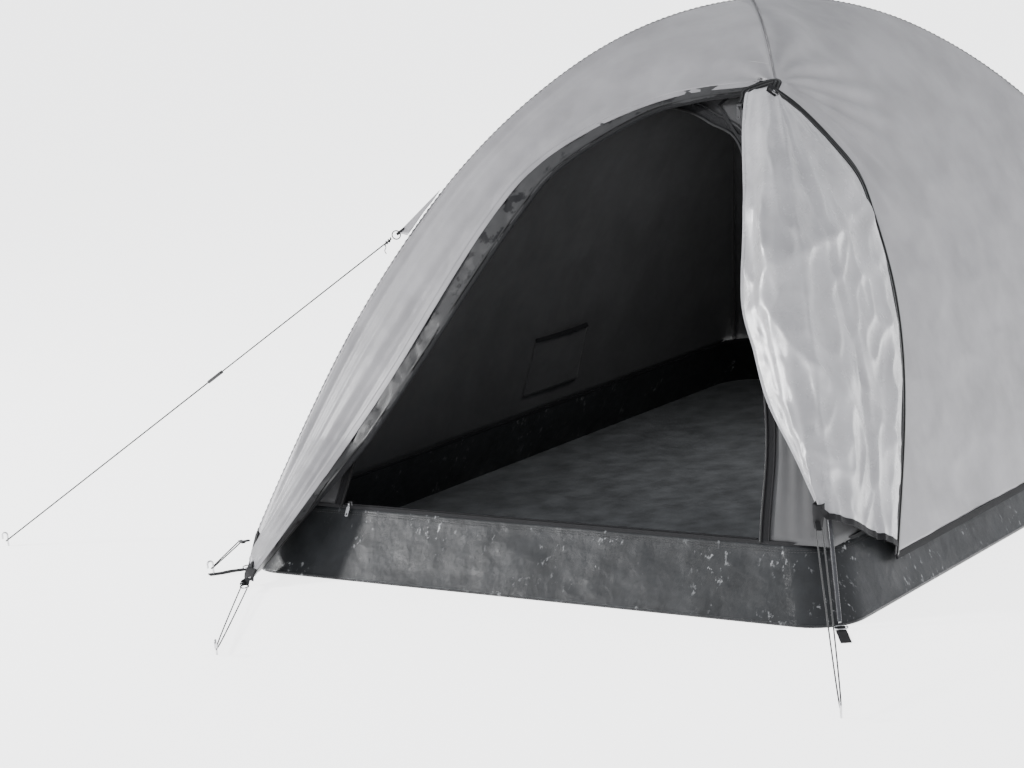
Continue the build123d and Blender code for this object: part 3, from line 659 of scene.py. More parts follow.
fly_cloth = cloth_material("fly_cloth", (.25, .245, .255), .40, metallic=.1, crease=.0030,
                           crease_scale=16, coat=.1)
# Painted light: the door is cut from the same cloth as fly_cloth; its lighter base colour stands for the key
# light falling on it.
fly_cloth_painted_lit = cloth_material("fly_cloth_painted_lit", (.38, .376, .388), .26, metallic=.2, crease=.005,
                                crease_scale=12, coat=.5)
facing_cloth = facing_material("facing_cloth", (.006, .006, .007), (.034, .034, .035))
inner_cloth = cloth_material("inner_cloth", (.045, .045, .047), .62, crease=.004, crease_scale=14, sheen=.05)
mesh_cloth = cloth_material("mesh_cloth", (.05, .05, .052), .7, pitch=.0024, weave=1.0, crease=.002)
binding_cloth = strap_material("binding_cloth", (.011, .011, .012), .0014)
webbing = strap_material("webbing", (.012, .012, .013))
zip_tape = strap_material("zip_tape", (.008, .008, .009), .0009)
zip_teeth = plastic_material("zip_teeth", (.012, .012, .012), .3)
tray_film = tarpaulin_material("tray_film", (.012, .013, .0142), .36, .0016, .9)
# Painted light: the floor is the same film as the tray wall, given a much lighter base colour to stand for the
# light falling on the floor inside.
floor_film_painted_lit = tarpaulin_material("floor_film_painted_lit", (.11, .115, .120), .5, .0016, .12)
thread_light = plastic_material("thread_light", (.36, .355, .36), .6)
thread_dark = plastic_material("thread_dark", (.05, .05, .05), .6)
steel = metal_material("steel", (.62, .62, .63), .3)
tab_metal = metal_material("tab_metal", (.7, .7, .7), .25)
black_metal = metal_material("black_metal", (.06, .06, .062), .4)
fibreglass = plastic_material("fibreglass", (.035, .036, .04), .22)
moulded = plastic_material("moulded", (.02, .02, .021), .42)
guy_braid = cord_material("guy_braid", (.012, .012, .012))
elastic_braid = cord_material("elastic_braid", (.016, .016, .016), .0016)

# ------------------------------------------------------------------ cords
UP = Vector((0, 0, 1))


def cord_curve(name, points, diameter, material):
    data = bpy.data.curves.new(name, "CURVE")
    data.dimensions = "3D"
    data.bevel_depth = diameter / 2
    data.bevel_resolution = 4
    data.resolution_u = 8
    data.use_fill_caps = True
    line = data.splines.new("NURBS")
    line.points.add(len(points) - 1)
    for point, place in zip(line.points, points):
        point.co = (*place, 1)
    line.order_u = 3
    line.use_endpoint_u = True
    obj = link(name, data)
    obj.data.materials.append(material)
    return obj


def loop_round(start, peg, half_width):
    """Doubled elastic from start round a peg's hook and back."""
    ahead = Vector((peg.x - start.x, peg.y - start.y, 0)).normalized()
    side = Vector((-ahead.y, ahead.x, 0))
    clear = .002 + .0014 + .0006
    far = peg + ahead * clear
    return [start + side * half_width, far + side * clear, far - side * clear, start - side * half_width]


TIP_PEG, CORNER_REACH = Vector((-.333, -1.574, 0)), HALF_DIAGONAL + .062
CORNER_PEG = Vector((-ACROSS * CORNER_REACH, -ALONG * CORNER_REACH, 0))
DOOR_PEG, GUY_PEG = Vector((.930, -1.500, 0)), Vector((-1.370, -1.050, 0))
TIP_LOOP, CORNER_HOOK = Vector((-.562, -1.213, .014)), Vector((-.706, -1.044, .058))
DOOR_LOOP = Vector((.640, -1.004, .176))
GUY_ROOT = ridge("front_left", .700, .025)
GUY_PULL = (GUY_PEG - GUY_ROOT).normalized()
GUY_RING = GUY_ROOT + GUY_PULL * .085
GUY_SIDE = Vector((-GUY_PULL.y, GUY_PULL.x, 0)).normalized()
GUY_FOOT = GUY_PEG + Vector((0, 0, .014))
GUY_WAY = (GUY_FOOT - GUY_RING).normalized()
ADJUSTER = GUY_RING + GUY_WAY * (GUY_FOOT - GUY_RING).length * .45


def guy_points():
    side = GUY_SIDE * .0045
    clear = GUY_WAY * (.002 + .0015 + .0015)
    start = GUY_RING + GUY_WAY * .005 + side
    end = ADJUSTER + GUY_WAY * .008 - side
    near = GUY_FOOT - GUY_WAY * .016
    return [start, near + side, GUY_FOOT + clear + side, GUY_FOOT + clear - side, near - side, end]


def make_cords():
    routes = {
        "tip_elastic": (loop_round(TIP_LOOP, TIP_PEG + UP * .012, .007), .0028, elastic_braid, .868),
        "corner_elastic": (loop_round(CORNER_HOOK, CORNER_PEG + UP * .014, .005), .0028, elastic_braid, .1673),
        "door_elastic": (loop_round(DOOR_LOOP, DOOR_PEG + UP * .014, .006), .0028, elastic_braid, 1.2065),
        "guy_line": (guy_points(), .003, guy_braid, 1.7574),
    }
    for name, (points, diameter, material, length) in routes.items():
        obj = cord_curve("seen_" + name, points, diameter, material)
        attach(obj, ROOT)
        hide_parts(name)


add_camera()
make_cords()

# ------------------------------------------------------------------ wrinkles
def ripple(place, scale, seed=0.0):
    return noise.noise(Vector((place[0] * scale + seed, place[1] * scale - seed, place[2] * scale + seed * .5)))


def crease(place, scale, seed=0.0):
    """Ridged noise: sharp crests between soft hollows, from 0 to 1."""
    away = abs(ripple(place, scale, seed))
    return (1 - away * 2) ** 2 if away < .5 else 0.0


def hump(distance, width):
    """Smooth rise of height one around zero."""
    return 1 / (1 + (distance / width) ** 4)


def step(distance, width):
    """Smooth step from zero up to one."""
    t = min(max(distance / width * .5 + .5, 0), 1)
    return t * t * (3 - 2 * t)


def fan(t, s, count, seed, warp=.5):
    """Folds that run along t and spread over s."""
    bend = noise.noise(Vector((s * 2.1 + seed, t * 1.6, seed))) * warp
    return sin(2 * pi * count * (s + bend * .16) + seed * 3)


# ------------------------------------------------------------------ floor tray
CORNER_RADIUS = .092
STRAIGHT_X, STRAIGHT_Y = HALF_WIDTH - CORNER_RADIUS, HALF_LENGTH - CORNER_RADIUS
FLOOR_INSET = .0012


def tray_ring(z, inset=0.0, steps=440):
    """Points round the tray at a height, with rounded corners."""
    share = z / TRAY_TOP
    top = reach_at(TRAY_TOP, -.013)
    x = HALF_WIDTH + (ACROSS * top - HALF_WIDTH) * share - inset
    y = HALF_LENGTH + (ALONG * top - HALF_LENGTH) * share - inset
    r = CORNER_RADIUS - inset
    line = []
    for cx, cy, start in ((x - r, -y + r, -90), (x - r, y - r, 0), (-x + r, y - r, 90), (-x + r, -y + r, 180)):
        for k in range(13):
            turn = radians(start + 90 * k / 12)
            line.append(Vector((cx + r * cos(turn), cy + r * sin(turn), z)))
    line.append(line[0].copy())
    return [along_fast(line, i / steps) for i in range(steps)]


def tray_wall_bump(t, s, p):
    near_edge = min(t * 6, (1 - t) * 5, 1)
    wave = .0020 * ripple(p, 7, 3) + .0010 * ripple((p.x * 2.6, p.y * 2.6, p.z * .8), 9, 8)
    patch = max(0, ripple(p, 4, 9) + .1) * 2
    sharp = patch * (.0012 * crease(p, 24, 5) + .0008 * crease(p, 60, 2))
    return near_edge * (wave + sharp - .0012)


def past_straight(x, y):
    """How far a floor point lies past the centre of the nearest rounded corner."""
    return hypot(max(abs(x) - STRAIGHT_X, 0), max(abs(y) - STRAIGHT_Y, 0))


def floor_height(x, y):
    """Low rolls with the sharp folds the floor was packed in, turned up where it meets the wall."""
    lift = .0035 + .0024 * ripple((x, y, 0), 3.5, 4) + .0015 * crease((x, y, 0), 6, 9)
    fold = .0022 * max(0, 1 - abs(y + .30) / .010) + .0022 * max(0, 1 - abs(y - .32) / .010)
    fold += .0020 * max(0, 1 - abs(x - .235) / .009) + .0020 * max(0, 1 - abs(x + .235) / .009)
    margin = CORNER_RADIUS - past_straight(x, y)
    flatten = min(1, max(0, margin - .001) / .02)
    return .0012 + max(.001, lift + fold) * flatten + max(0, .0048 - margin)


def make_tray():
    rings = [tray_ring(TRAY_TOP * (1 - i / 22)) for i in range(23)]
    rings[-1] = [Vector((p.x, p.y, .0006)) for p in rings[-1]]
    wall = sheet_from("tray_wall", rings, tray_film, tray_wall_bump, .0008, closed=True)
    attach(wall, ROOT)
    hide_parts("groundsheet")
    rows, columns = 150, 104
    grid = []
    for i in range(rows):
        y = -1 + 2 * i / (rows - 1)
        row = []
        for j in range(columns):
            x = -1 + 2 * j / (columns - 1)
            px, py = x * (HALF_WIDTH - FLOOR_INSET), y * (HALF_LENGTH - FLOOR_INSET)
            spare = past_straight(px, py)
            if spare > CORNER_RADIUS - FLOOR_INSET:
                pull = (CORNER_RADIUS - FLOOR_INSET) / spare
                px = copysign(STRAIGHT_X + (abs(px) - STRAIGHT_X) * pull, px)
                py = copysign(STRAIGHT_Y + (abs(py) - STRAIGHT_Y) * pull, py)
            row.append(Vector((px, py, floor_height(px, py))))
        grid.append(row)
    floor = sheet_from("tray_floor", grid, floor_film_painted_lit, None, 0)
    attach(floor, ROOT)
    ring = tray_ring(TRAY_TOP, -.0012, 300)
    ring.append(ring[0].copy())
    normals = [Vector((p.x / .7, p.y / 1.05, 0)).normalized() for p in ring]
    binding = ribbon("tray_binding", ring, normals, .009, .0022, binding_cloth)
    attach(binding, ROOT)
    for z in (.118, .122):
        ring = tray_ring(z, -.0016, 300)
        ring.append(ring[0].copy())
        row = stitches("tray_stitch_%d" % round(z * 1000), ring, normals, thread_dark, .006, .004)
        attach(row, ROOT)


# ------------------------------------------------------------------ inner tent
def inner_bump(seed, depth=.006):
    def bump(t, s, p):
        edge = min(1, 5 * min(s, 1 - s), 5 * min(t, 1 - t) + .15)
        folds = .5 * t * fan(t, s, 5, seed) + .8 * ripple(p, 7, seed) + .4 * crease(p, 15, seed)
        return edge * depth * folds
    return bump


def make_inner_walls():
    for side, corner_a, corner_b, place in (("left", "front_left", "back_left", left),
                                            ("right", "front_right", "back_right", right),
                                            ("back", "back_left", "back_right", back)):
        a = ridge_line(corner_a, CROWN - .012, TRAY_TOP, INNER_GAP)
        b = ridge_line(corner_b, CROWN - .012, TRAY_TOP, INNER_GAP)
        if side == "back":
            grid = ruled(a, b, 80, 90, lambda p: back(p.x, p.z, INNER_GAP))
        else:
            grid = ruled(a, b, 80, 90, lambda p: place(p.y, p.z, INNER_GAP))
        wall = sheet_from("inner_%s" % side, grid, inner_cloth, inner_bump(len(side)), .0006)
        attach(wall, ROOT)
        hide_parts("inner_%s_wall" % side)


def make_inner_front():
    arch = flat(INNER_ARCH)
    arch = [along(arch, i / 120) for i in range(121)]
    left_half = ridge_line("front_left", CROWN - .012, TRAY_TOP + .001, INNER_GAP)
    right_half = ridge_line("front_right", CROWN - .012, TRAY_TOP + .001, INNER_GAP)
    outer = [Vector((p.x, p.z, 0)) for p in left_half[::-1] + right_half[1:]]
    grid = []
    for i in range(141):
        a, b = along(arch, i / 140), along(outer, i / 140)
        grid.append([front(*(a.lerp(b, j / 20)).xy, INNER_GAP) for j in range(21)])
    wall = sheet_from("inner_front", grid, inner_cloth, inner_bump(7, .004), .0006, flip=True)
    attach(wall, ROOT)
    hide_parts("inner_front_wall")
    out = [Vector((0, -.8, .6)).normalized()] * len(arch)
    for name, gap, width, thickness, aside, material in (
            ("tape", .0020, .018, .0014, -.005, zip_tape),
            ("coil", .0040, .004, .0026, .001, zip_teeth),
            ("piping", .0032, .003, .0026, -.016, binding_cloth)):
        points = [front(*offset_point(arch, i, aside).xy, INNER_GAP + gap) for i in range(len(arch))]
        piece = ribbon("inner_zip_%s_seen" % name, points, out, width, thickness, material)
        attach(piece, ROOT)
    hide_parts("inner_zip_arch")
    corners = [(.150, .893), (.255, .818), (.286, .848), (.186, .934)]
    grid = []
    for i in range(13):
        a = Vector(corners[0]).lerp(Vector(corners[3]), i / 12)
        b = Vector(corners[1]).lerp(Vector(corners[2]), i / 12)
        grid.append([front(*a.lerp(b, j / 12), INNER_GAP + .003) for j in range(13)])
    vent = sheet_from("vent_mesh", grid, mesh_cloth, lambda t, s, p: .001 * ripple(p, 25), .0006, flip=True)
    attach(vent, ROOT)
    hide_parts("inner_mesh_vent")
    rim = [Vector(c) for c in corners] + [Vector(corners[0])]
    for k, (a, b) in enumerate(zip(rim, rim[1:])):
        points = [front(*a.lerp(b, i / 10), INNER_GAP + .0045) for i in range(11)]
        trim = ribbon("vent_binding_%d" % k, points, out[:11], .006, .0015, binding_cloth)
        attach(trim, ROOT)


def offset_point(line, i, distance):
    """Point of a flat outline moved sideways."""
    a, b = line[max(i - 1, 0)], line[min(i + 1, len(line) - 1)]
    heading = (b - a).normalized()
    return line[i] + Vector((heading.y, -heading.x, 0)) * distance


def make_inner_door():
    """Door cloth dropped behind the sill in loose folds."""
    low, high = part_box("inner_door")
    rows, columns = 40, 70
    grid = []
    for i in range(rows):
        t = i / (rows - 1)
        row = []
        for j in range(columns):
            s = j / (columns - 1)
            x = low[0] + .012 + (high[0] - low[0] - .024) * s
            y = low[1] + .006 + (high[1] - low[1] - .014) * t + .004 * ripple((s, t, 0), 5)
            ends = min(1, 7 * min(s, 1 - s)) * min(1, 6 * min(t, 1 - t))
            folds = sin(2 * pi * (2.4 * t + .4 * ripple((s, t, 0), 3)))
            z = .006 + ends * (.0085 + .0055 * folds + .002 * ripple((s * 3, t * 3, 0), 3, 2))
            row.append(Vector((x, y, z)))
        grid.append(row)
    door = sheet_from("dropped_door", grid, inner_cloth, None, .0008)
    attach(door, ROOT)
    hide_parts("inner_door")


def make_pocket():
    y0, y1, z0, z1 = -.090, .150, .180, .315
    grid = []
    for i in range(24):
        t = i / 23
        row = []
        for j in range(30):
            s = j / 29
            z = z1 + (z0 - z1) * t
            y = y0 + (y1 - y0) * s + .008 * (1 - t) * (1 - 2 * s)
            belly = .012 * sin(pi * s) ** .6 * (1 - .5 * t) + .003 * ripple((s, t, 0), 5)
            row.append(left(y, z, INNER_GAP - .007 - max(belly, 0)))
        grid.append(row)
    pocket = sheet_from("pocket", grid, inner_cloth, None, .0006)
    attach(pocket, ROOT)
    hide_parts("storage_pocket")
    top_edge = [p + Vector((.0008, 0, 0)) for p in grid[0]]
    binding = ribbon("pocket_binding", top_edge, [Vector((1, 0, .3))] * 30, .010, .002, binding_cloth)
    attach(binding, ROOT)


SLEEVE_SIDES = 18


def make_sleeves():
    """Fabric tunnels of the poles, slightly gathered along their length."""
    for corner in CORNERS:
        top = CROWN + (.012 if corner in ("front_right", "back_left") else 0)
        points = [p for p in ridge_line(corner, top - .004, .215, 0, 110)]
        kept = [p for p in points if hypot(p.x, p.y) > .092]
        verts = []
        seed = list(CORNERS).index(corner) * 3.7
        for i, p in enumerate(kept):
            heading = heading_at(kept, i)
            u = heading.cross(UP).normalized()
            w = u.cross(heading)
            for k in range(SLEEVE_SIDES):
                turn = 2 * pi * k / SLEEVE_SIDES
                size = .0068 + .0007 * ripple((i * .9, k * .35, seed), .6) + .0005 * sin(i * 1.7)
                verts.append(p + (u * cos(turn) + w * sin(turn)) * size)
        sleeve = solid_object("sleeve_" + corner, verts, ring_faces(len(kept), SLEEVE_SIDES), inner_cloth, 180)
        thicken(sleeve, .0005)
        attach(sleeve, ROOT)
        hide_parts("pole_sleeve_" + corner)


# ------------------------------------------------------------------ flysheet
def fly_bump(seed, depth=.0035, long_folds=0.0, count=6):
    def bump(t, s, p):
        edge = min(1, 8 * min(s, 1 - s) + .1)
        soft = depth * ripple(p, 4.5, seed) + depth * .45 * ripple(p, 11, seed + 2)
        sharp = depth * .5 * crease((p.x, p.y, p.z * 1.8), 8, seed)
        folds = long_folds * fan(t, s, count, seed) * t
        return edge * (soft + sharp + folds)
    return bump


def seam_line(name, points, normals, width):
    """Felled seam: a raised band of cloth with a row of stitches along each edge."""
    band = ribbon(name, points, normals, width, .0016, fly_cloth)
    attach(band, ROOT)
    pieces = [band]
    for k, aside in enumerate((-.34 * width, .34 * width)):
        row = shifted(points, normals, aside, .0008)
        sewn = stitches("%s_sewn_%d" % (name, k), row, normals, thread_light, .0055, .0035, .0009)
        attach(sewn, ROOT)
        pieces.append(sewn)
    return pieces


def on_front(p, gap=FLY_GAP):
    return front(p.x, p.z, gap)


def on_back(p, gap=FLY_GAP):
    return back(p.x, p.z, gap)


def on_left(p, gap=FLY_GAP):
    return left(p.y, p.z, gap)


def on_right(p, gap=FLY_GAP):
    return right(p.y, p.z, gap)


def fly_arch_line():
    """Edge of the flysheet round the door, from its pegging tip to the apex, in space."""
    upper = above(flat(FLY_ARCH), FOOT_TOP)
    upper = [front(p.x, p.y, FLY_GAP) for p in upper]
    foot = [TIP.lerp(upper[0], i / 12) for i in range(12)]
    return foot, upper


def make_fly_front():
    foot, upper = fly_arch_line()
    crown = level(FLY_GAP)[0][1]
    ridge_low = [ridge("front_left", HEM + (FOOT_TOP - HEM) * i / 12, FLY_GAP) for i in range(13)]
    ridge_high = list(reversed(ridge_line("front_left", crown, FOOT_TOP, FLY_GAP, 80)))
    apex_side = ridge_line("front_right", crown, .940, FLY_GAP, 24)
    grid = ruled(ridge_low, foot + [upper[0]], 30, 41, lambda p: p)
    turn_share = .74
    for i in range(1, 150):
        t = i / 149
        b = along(upper, t)
        if t < turn_share:
            a = along(ridge_high, t / turn_share)
        else:
            a = along(apex_side, (t - turn_share) / (1 - turn_share))
        grid.append([on_front(a.lerp(b, j / 40)) for j in range(41)])

    def bump(t, s, p):
        edge = min(1, 6 * min(s, 1 - s) + .05)
        tension = .0055 * fan(t, s, 1.6, 4.0, .9) * (1 - .7 * t)
        tension += .0016 * fan(t, s, 5.5, 1.0, 1.3) * max(0, 1 - 1.3 * t)
        puckers = .0034 * crease((p.x * 1.5, p.y, p.z * .5), 14, 6) * max(0, s - .35)
        return edge * (tension + puckers + .0022 * ripple(p, 5, 2))

    panel = sheet_from("fly_front", grid, fly_cloth, bump, .0007)
    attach(panel, ROOT)
    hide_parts("fly_front_panel", "fly_front_foot")
    edge = foot + upper
    edge_line = [along(edge, i / 160) for i in range(161)]
    normals = grid_normals(grid)
    edge_normals = [normals[min(int(i / 160 * (len(grid) - 1)), len(grid) - 1)][-2] for i in range(161)]
    pieces = seam_line("arch_hem", shifted(edge_line, edge_normals, -.0065, .0008), edge_normals, .013)
    hem_points = [p + n * .0004 for p, n in zip(grid[0], normals[0])]
    hem = ribbon("front_foot_binding", hem_points, normals[0], .017, .003, binding_cloth)
    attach(hem, ROOT)
    stitch_line = [front(-.02 + .30 * i / 29, 1.0 - .035 * i / 29, FLY_GAP + .0006) for i in range(30)]
    across = [p for p in stitch_line if abs(p.x) < ACROSS / ALONG * abs(p.y) - .006]
    facing = [Vector((0, -.5, .85)).normalized()] * len(across)
    sewn = stitches("front_sewn_line", across, facing, thread_light, .006, .004, .001)
    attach(sewn, ROOT)
    pieces.append(sewn)


def make_fly_right():
    crown = level(FLY_GAP)[0][1]
    down_ridge = ridge_line("front_right", crown, .940, FLY_GAP, 30)
    zip_line = [right(p.x, p.y, FLY_GAP) for p in flat(FLY_ZIP_SIDE)]
    a_line = down_ridge + zip_line[1:]
    b_line = ridge_line("back_right", crown, HEM, FLY_GAP, 80)
    grid = ruled(a_line, b_line, 150, 81, on_right)
    apex = Vector((.24, -.41, .94))

    def bump(t, s, p):
        edge = min(1, 9 * min(s, 1 - s) + .08)
        away = (p - apex).length
        angle = atan2(p.z - apex.z, p.y - apex.y)
        rays = .0055 * sin(angle * 26 + 3 * ripple(p, 5, 1)) * max(0, 1 - abs(away - .22) / .3)
        return edge * (rays + .0035 * ripple(p, 4, 5) + .0015 * crease(p, 10, 3))

    panel = sheet_from("fly_right", grid, fly_cloth, bump, .0007)
    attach(panel, ROOT)
    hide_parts("fly_right_panel")


def make_fly_sides():
    crown = level(FLY_GAP)[0][1]
    for side, corner_a, corner_b, place, width in (("left", "front_left", "back_left", on_left, 2.03),
                                                   ("back", "back_left", "back_right", on_back, 1.355)):
        a_line = ridge_line(corner_a, crown, HEM, FLY_GAP, 80)
        b_line = ridge_line(corner_b, crown, HEM, FLY_GAP, 80)
        grid = ruled(a_line, b_line, 110, 81, place)
        panel = sheet_from("fly_" + side, grid, fly_cloth, fly_bump(len(side) * 1.3, .004, .004, 5), .0007)
        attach(panel, ROOT)
        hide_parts("fly_%s_panel" % side)


def make_ridge_seams():
    """Piped seam along each ridge, with a row of stitches in the panel on either side."""
    crown = level(FLY_GAP)[0][1]
    for corner, (sx, sy) in CORNERS.items():
        bottom = .930 if corner == "front_right" else HEM + .004
        points = ridge_line(corner, crown, bottom, FLY_GAP + .0004, 120)
        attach(tube("ridge_seam_" + corner, points, .0042, fly_cloth), ROOT)
        lower = points[6:]
        end_row = [(front if sy < 0 else back)(p.x - sx * .007, p.z, FLY_GAP + .0010) for p in lower]
        side_row = [(left if sx < 0 else right)(p.y - sy * .007, p.z, FLY_GAP + .0010) for p in lower]
        for k, (row, out) in enumerate(((end_row, Vector((0, sy, .5))), (side_row, Vector((sx, 0, .5))))):
            normals = [out.normalized()] * len(row)
            sewn = stitches("ridge_sewn_%s_%d" % (corner, k), row, normals, thread_light, .0055, .0035, .0009)
            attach(sewn, ROOT)


def make_hem_bindings():
    """Dark tape round the bottom of the flysheet."""
    for side, start, end, out in (
            ("left", ridge("front_left", HEM, FLY_GAP), ridge("back_left", HEM, FLY_GAP), Vector((-1, 0, .25))),
            ("back", ridge("back_left", HEM, FLY_GAP), ridge("back_right", HEM, FLY_GAP), Vector((0, 1, .25))),
            ("right", ridge("back_right", HEM, FLY_GAP), right(-.775, HEM, FLY_GAP), Vector((1, 0, .25)))):
        points = [start.lerp(end, i / 60) + Vector((0, 0, -.003)) for i in range(61)]
        strip = ribbon("hem_binding_" + side, points, [out.normalized()] * 61, .013, .003, binding_cloth)
        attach(strip, ROOT)
        if side == "left":
            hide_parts("fly_hem_binding")


def band_bump(t, s, p):
    edge = min(1, 7 * min(s, 1 - s) + .1)
    return edge * (.0030 * crease(p, 9, 4) + .0020 * ripple(p, 10, 3) + .0008 * crease(p, 24, 8) - .0030)


def make_storm_flap():
    outer = above(flat(FLY_ARCH), FOOT_TOP)
    inner = above(flat(FLAP_BAND), FOOT_TOP)
    gap = FLY_GAP - .0035
    outer = [front(p.x, p.y, gap) for p in outer]
    inner = [front(p.x, p.y, gap) for p in inner]
    grid = []
    for i in range(36):
        t = i / 36
        a = (TIP + Vector((.009, .004, .002))).lerp(outer[0], t)
        b = TIP_INSIDE.lerp(inner[0], t)
        grid.append([a.lerp(b, j / 14) for j in range(15)])
    grid += ruled(outer, inner, 190, 15, lambda p: on_front(p, gap))
    flap = sheet_from("storm_flap", grid, facing_cloth, band_bump, .0008)
    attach(flap, ROOT)
    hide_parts("fly_storm_flap", "fly_storm_flap_foot")
    normals = grid_normals(grid)
    inner_edge = [row[-1] for row in grid][::2]
    inner_normals = [row[-2] for row in normals][::2]
    for name, width, thickness, lift, aside, material in (
            ("tape", .012, .0014, -.0006, .004, zip_tape),
            ("coil", .0042, .0028, -.0014, .0095, zip_teeth),
            ("piping", .0035, .0014, .0008, -.002, binding_cloth)):
        points = shifted(inner_edge, inner_normals, aside, lift)
        piece = ribbon("fly_zip_left_" + name, points, inner_normals, width, thickness, material)
        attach(piece, ROOT)
    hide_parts("fly_zip_left")


def make_door():
    edge = flat([(.231, .924)] + DOOR_FREE_EDGE)
    side = flat(FLY_ZIP_SIDE)
    rows, columns = 130, 110
    corner_share = .34
    grid = []
    for i in range(rows):
        t = i / (rows - 1)
        e, z = along(edge, t), along(side, .005 + .965 * t)
        corner_z = .934 + (.190 - .934) * t
        f = front(e.x, e.y, FLAP_GAP)
        k = ridge("front_right", corner_z, FLAP_GAP)
        row = []
        for j in range(columns):
            s = j / (columns - 1)
            if s < corner_share:
                u = s / corner_share
                row.append(f.lerp(k, u))
            else:
                u = (s - corner_share) / (1 - corner_share)
                y = k.y + (z.x - .004 - k.y) * u
                h = corner_z + (z.y - .006 - corner_z) * u
                row.append(right(y, h, FLAP_GAP - .002 * u))
        grid.append(row)

    def bump(t, s, p):
        grow = min(1, t * 3.2) * (1 - .3 * t)
        edge_fade = min(1, 14 * s + .25) * min(1, 9 * (1 - s))
        wander = .05 * ripple((t * 2, 0, 0), 1.6, 4)
        crest = .024 * hump(s - .19 - wander, .075) + .012 * hump(s - .52 - wander, .07)
        pleat = .35 + .46 * t + wander * .5
        crest += .009 * step(s - pleat, .018) - .004 * hump(s - pleat + .012, .016)
        crest += .020 * hump(s - .44 - 1.5 * t, .05) * min(1, 6 * t)
        facets = .0130 * crease((s * 1.9, t * 2.6, .3), 1.7, 6) + .0060 * crease((s * 3.4, t * 4.4, .8), 2.3, 2)
        tiny = .0010 * crease((p.x, p.y, p.z * .5), 26, 2)
        return edge_fade * (grow * (crest + facets) + tiny) - .001

    door = sheet_from("fly_door_drawn", grid, fly_cloth_painted_lit, bump, .0007)
    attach(door, ROOT)
    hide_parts("fly_door")
    normals = grid_normals(grid)
    hem_points = []
    for j, (p, n) in enumerate(zip(grid[-1], normals[-1])):
        hem_points.append(p + n * bump(1, j / (columns - 1), p))
    hem = ribbon("door_hem_binding", hem_points, normals[-1], .012, .003, binding_cloth)
    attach(hem, ROOT)
    edge_points = [grid[i][0] + normals[i][0] * bump(i / (rows - 1), 0, grid[i][0]) for i in range(rows)]
    edge_normals = [normals[i][0] for i in range(rows)]
    edge_tape = ribbon("door_edge_fold", edge_points, edge_normals, .006, .0022, fly_cloth_painted_lit)
    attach(edge_tape, ROOT)


def make_right_zip():
    side = flat(FLY_ZIP_SIDE)
    side = [along(side, i / 150) for i in range(151)]
    normals = [(right(p.x, p.y, .05) - right(p.x, p.y, .02)).normalized() for p in side]
    for name, width, aside, lift, material in (
            ("tape", .019, .0, .0048, zip_tape),
            ("coil_inner", .004, -.0045, .0062, zip_teeth),
            ("coil_outer", .004, .0045, .0062, zip_teeth)):
        moved = [offset_point(side, i, aside) for i in range(len(side))]
        points = [right(p.x, max(p.y, HEM), FLY_GAP + lift) for p in moved]
        piece = ribbon("fly_zip_right_" + name, points, normals, width, .0016, material)
        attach(piece, ROOT)
    gap = FLY_GAP + .0095
    apex = [front(.224, .901, FLY_GAP + .001), front(.225, .912, FLY_GAP + .004), front(.226, .924, gap - .003),
            ridge("front_right", .940, gap),
            right(-.448, .926, gap - .002), right(-.430, .905, gap - .005)]
    points = [along(smooth(apex), i / 40) for i in range(41)]
    out = [Vector((0, -.75, .65)).lerp(Vector((.65, -.1, .75)), i / 40).normalized() for i in range(41)]
    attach(ribbon("fly_zip_apex", points, out, .017, .002, zip_tape), ROOT)
    for k, aside in enumerate((-.004, .004)):
        coil = shifted(points, out, aside, .0014)
        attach(ribbon("fly_zip_apex_coil_%d" % k, coil, out, .0035, .0016, zip_teeth), ROOT)
    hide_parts("fly_zip_right")


# ------------------------------------------------------------------ straps, tabs and small trim
def make_straps():
    for corner, (sx, sy) in CORNERS.items():
        way = Vector((sx * ACROSS, sy * ALONG, 0)).normalized()
        start = Vector((sx * HALF_WIDTH, sy * HALF_LENGTH, 0))
        points = []
        for i in range(25):
            points.append(start + way * (-.0385 + .1105 * i / 24) + UP * (.0012 + .0004 * sin(i * .6)))
        strap = ribbon("strap_" + corner, points, [UP] * 25, .020, .0016, webbing)
        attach(strap, ROOT)
        if corner == "front_left":
            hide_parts("corner_straps")


def make_guy_tabs():
    for corner, (sx, sy) in CORNERS.items():
        if corner == "front_right":
            continue  # folded flat under the drawn door, out of sight
        pull = Vector((-sx * GUY_PULL.x, -sy * GUY_PULL.y, GUY_PULL.z))
        root = ridge(corner, .700, .026)
        tip = root + pull * .064
        way = (ridge(corner, .742, .026) - ridge(corner, .658, .026)).normalized()
        grid = []
        for i in range(16):
            t = i / 15
            half = .052 * (1 - t) ** 1.05 + .007
            middle = root.lerp(tip, t)
            row = []
            for j in range(13):
                flutter = .0016 * sin(3 * t + j * .8) * (1 - t)
                row.append(middle + way * half * (2 * j / 12 - 1) + pull.cross(way) * flutter)
            grid.append(row)
        tab = sheet_from("guy_tab_" + corner, grid, fly_cloth, None, .0012)
        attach(tab, ROOT)
    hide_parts("guy_tabs")
    points = [GUY_RING - GUY_PULL * (.030 - .020 * i / 8) for i in range(9)]
    loop = ribbon("guy_tab_webbing", points, [GUY_SIDE.cross(GUY_PULL)] * 9, .013, .005, webbing)
    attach(loop, ROOT)
    knot = []
    for i in range(26):
        turn = 2 * pi * i / 9
        turned = GUY_SIDE * (.004 + .0035 * cos(turn)) + UP * .0035 * sin(turn)
        knot.append(GUY_RING + GUY_PULL * (.006 + .0007 * i) + turned)
    tail = [knot[-1] + Vector((.002 * sin(i * .9), 0, -.0022 * i)) for i in range(9)]
    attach(tube("guy_knot", knot, .003, guy_braid), ROOT)
    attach(tube("guy_knot_tail", tail, .003, guy_braid), ROOT)


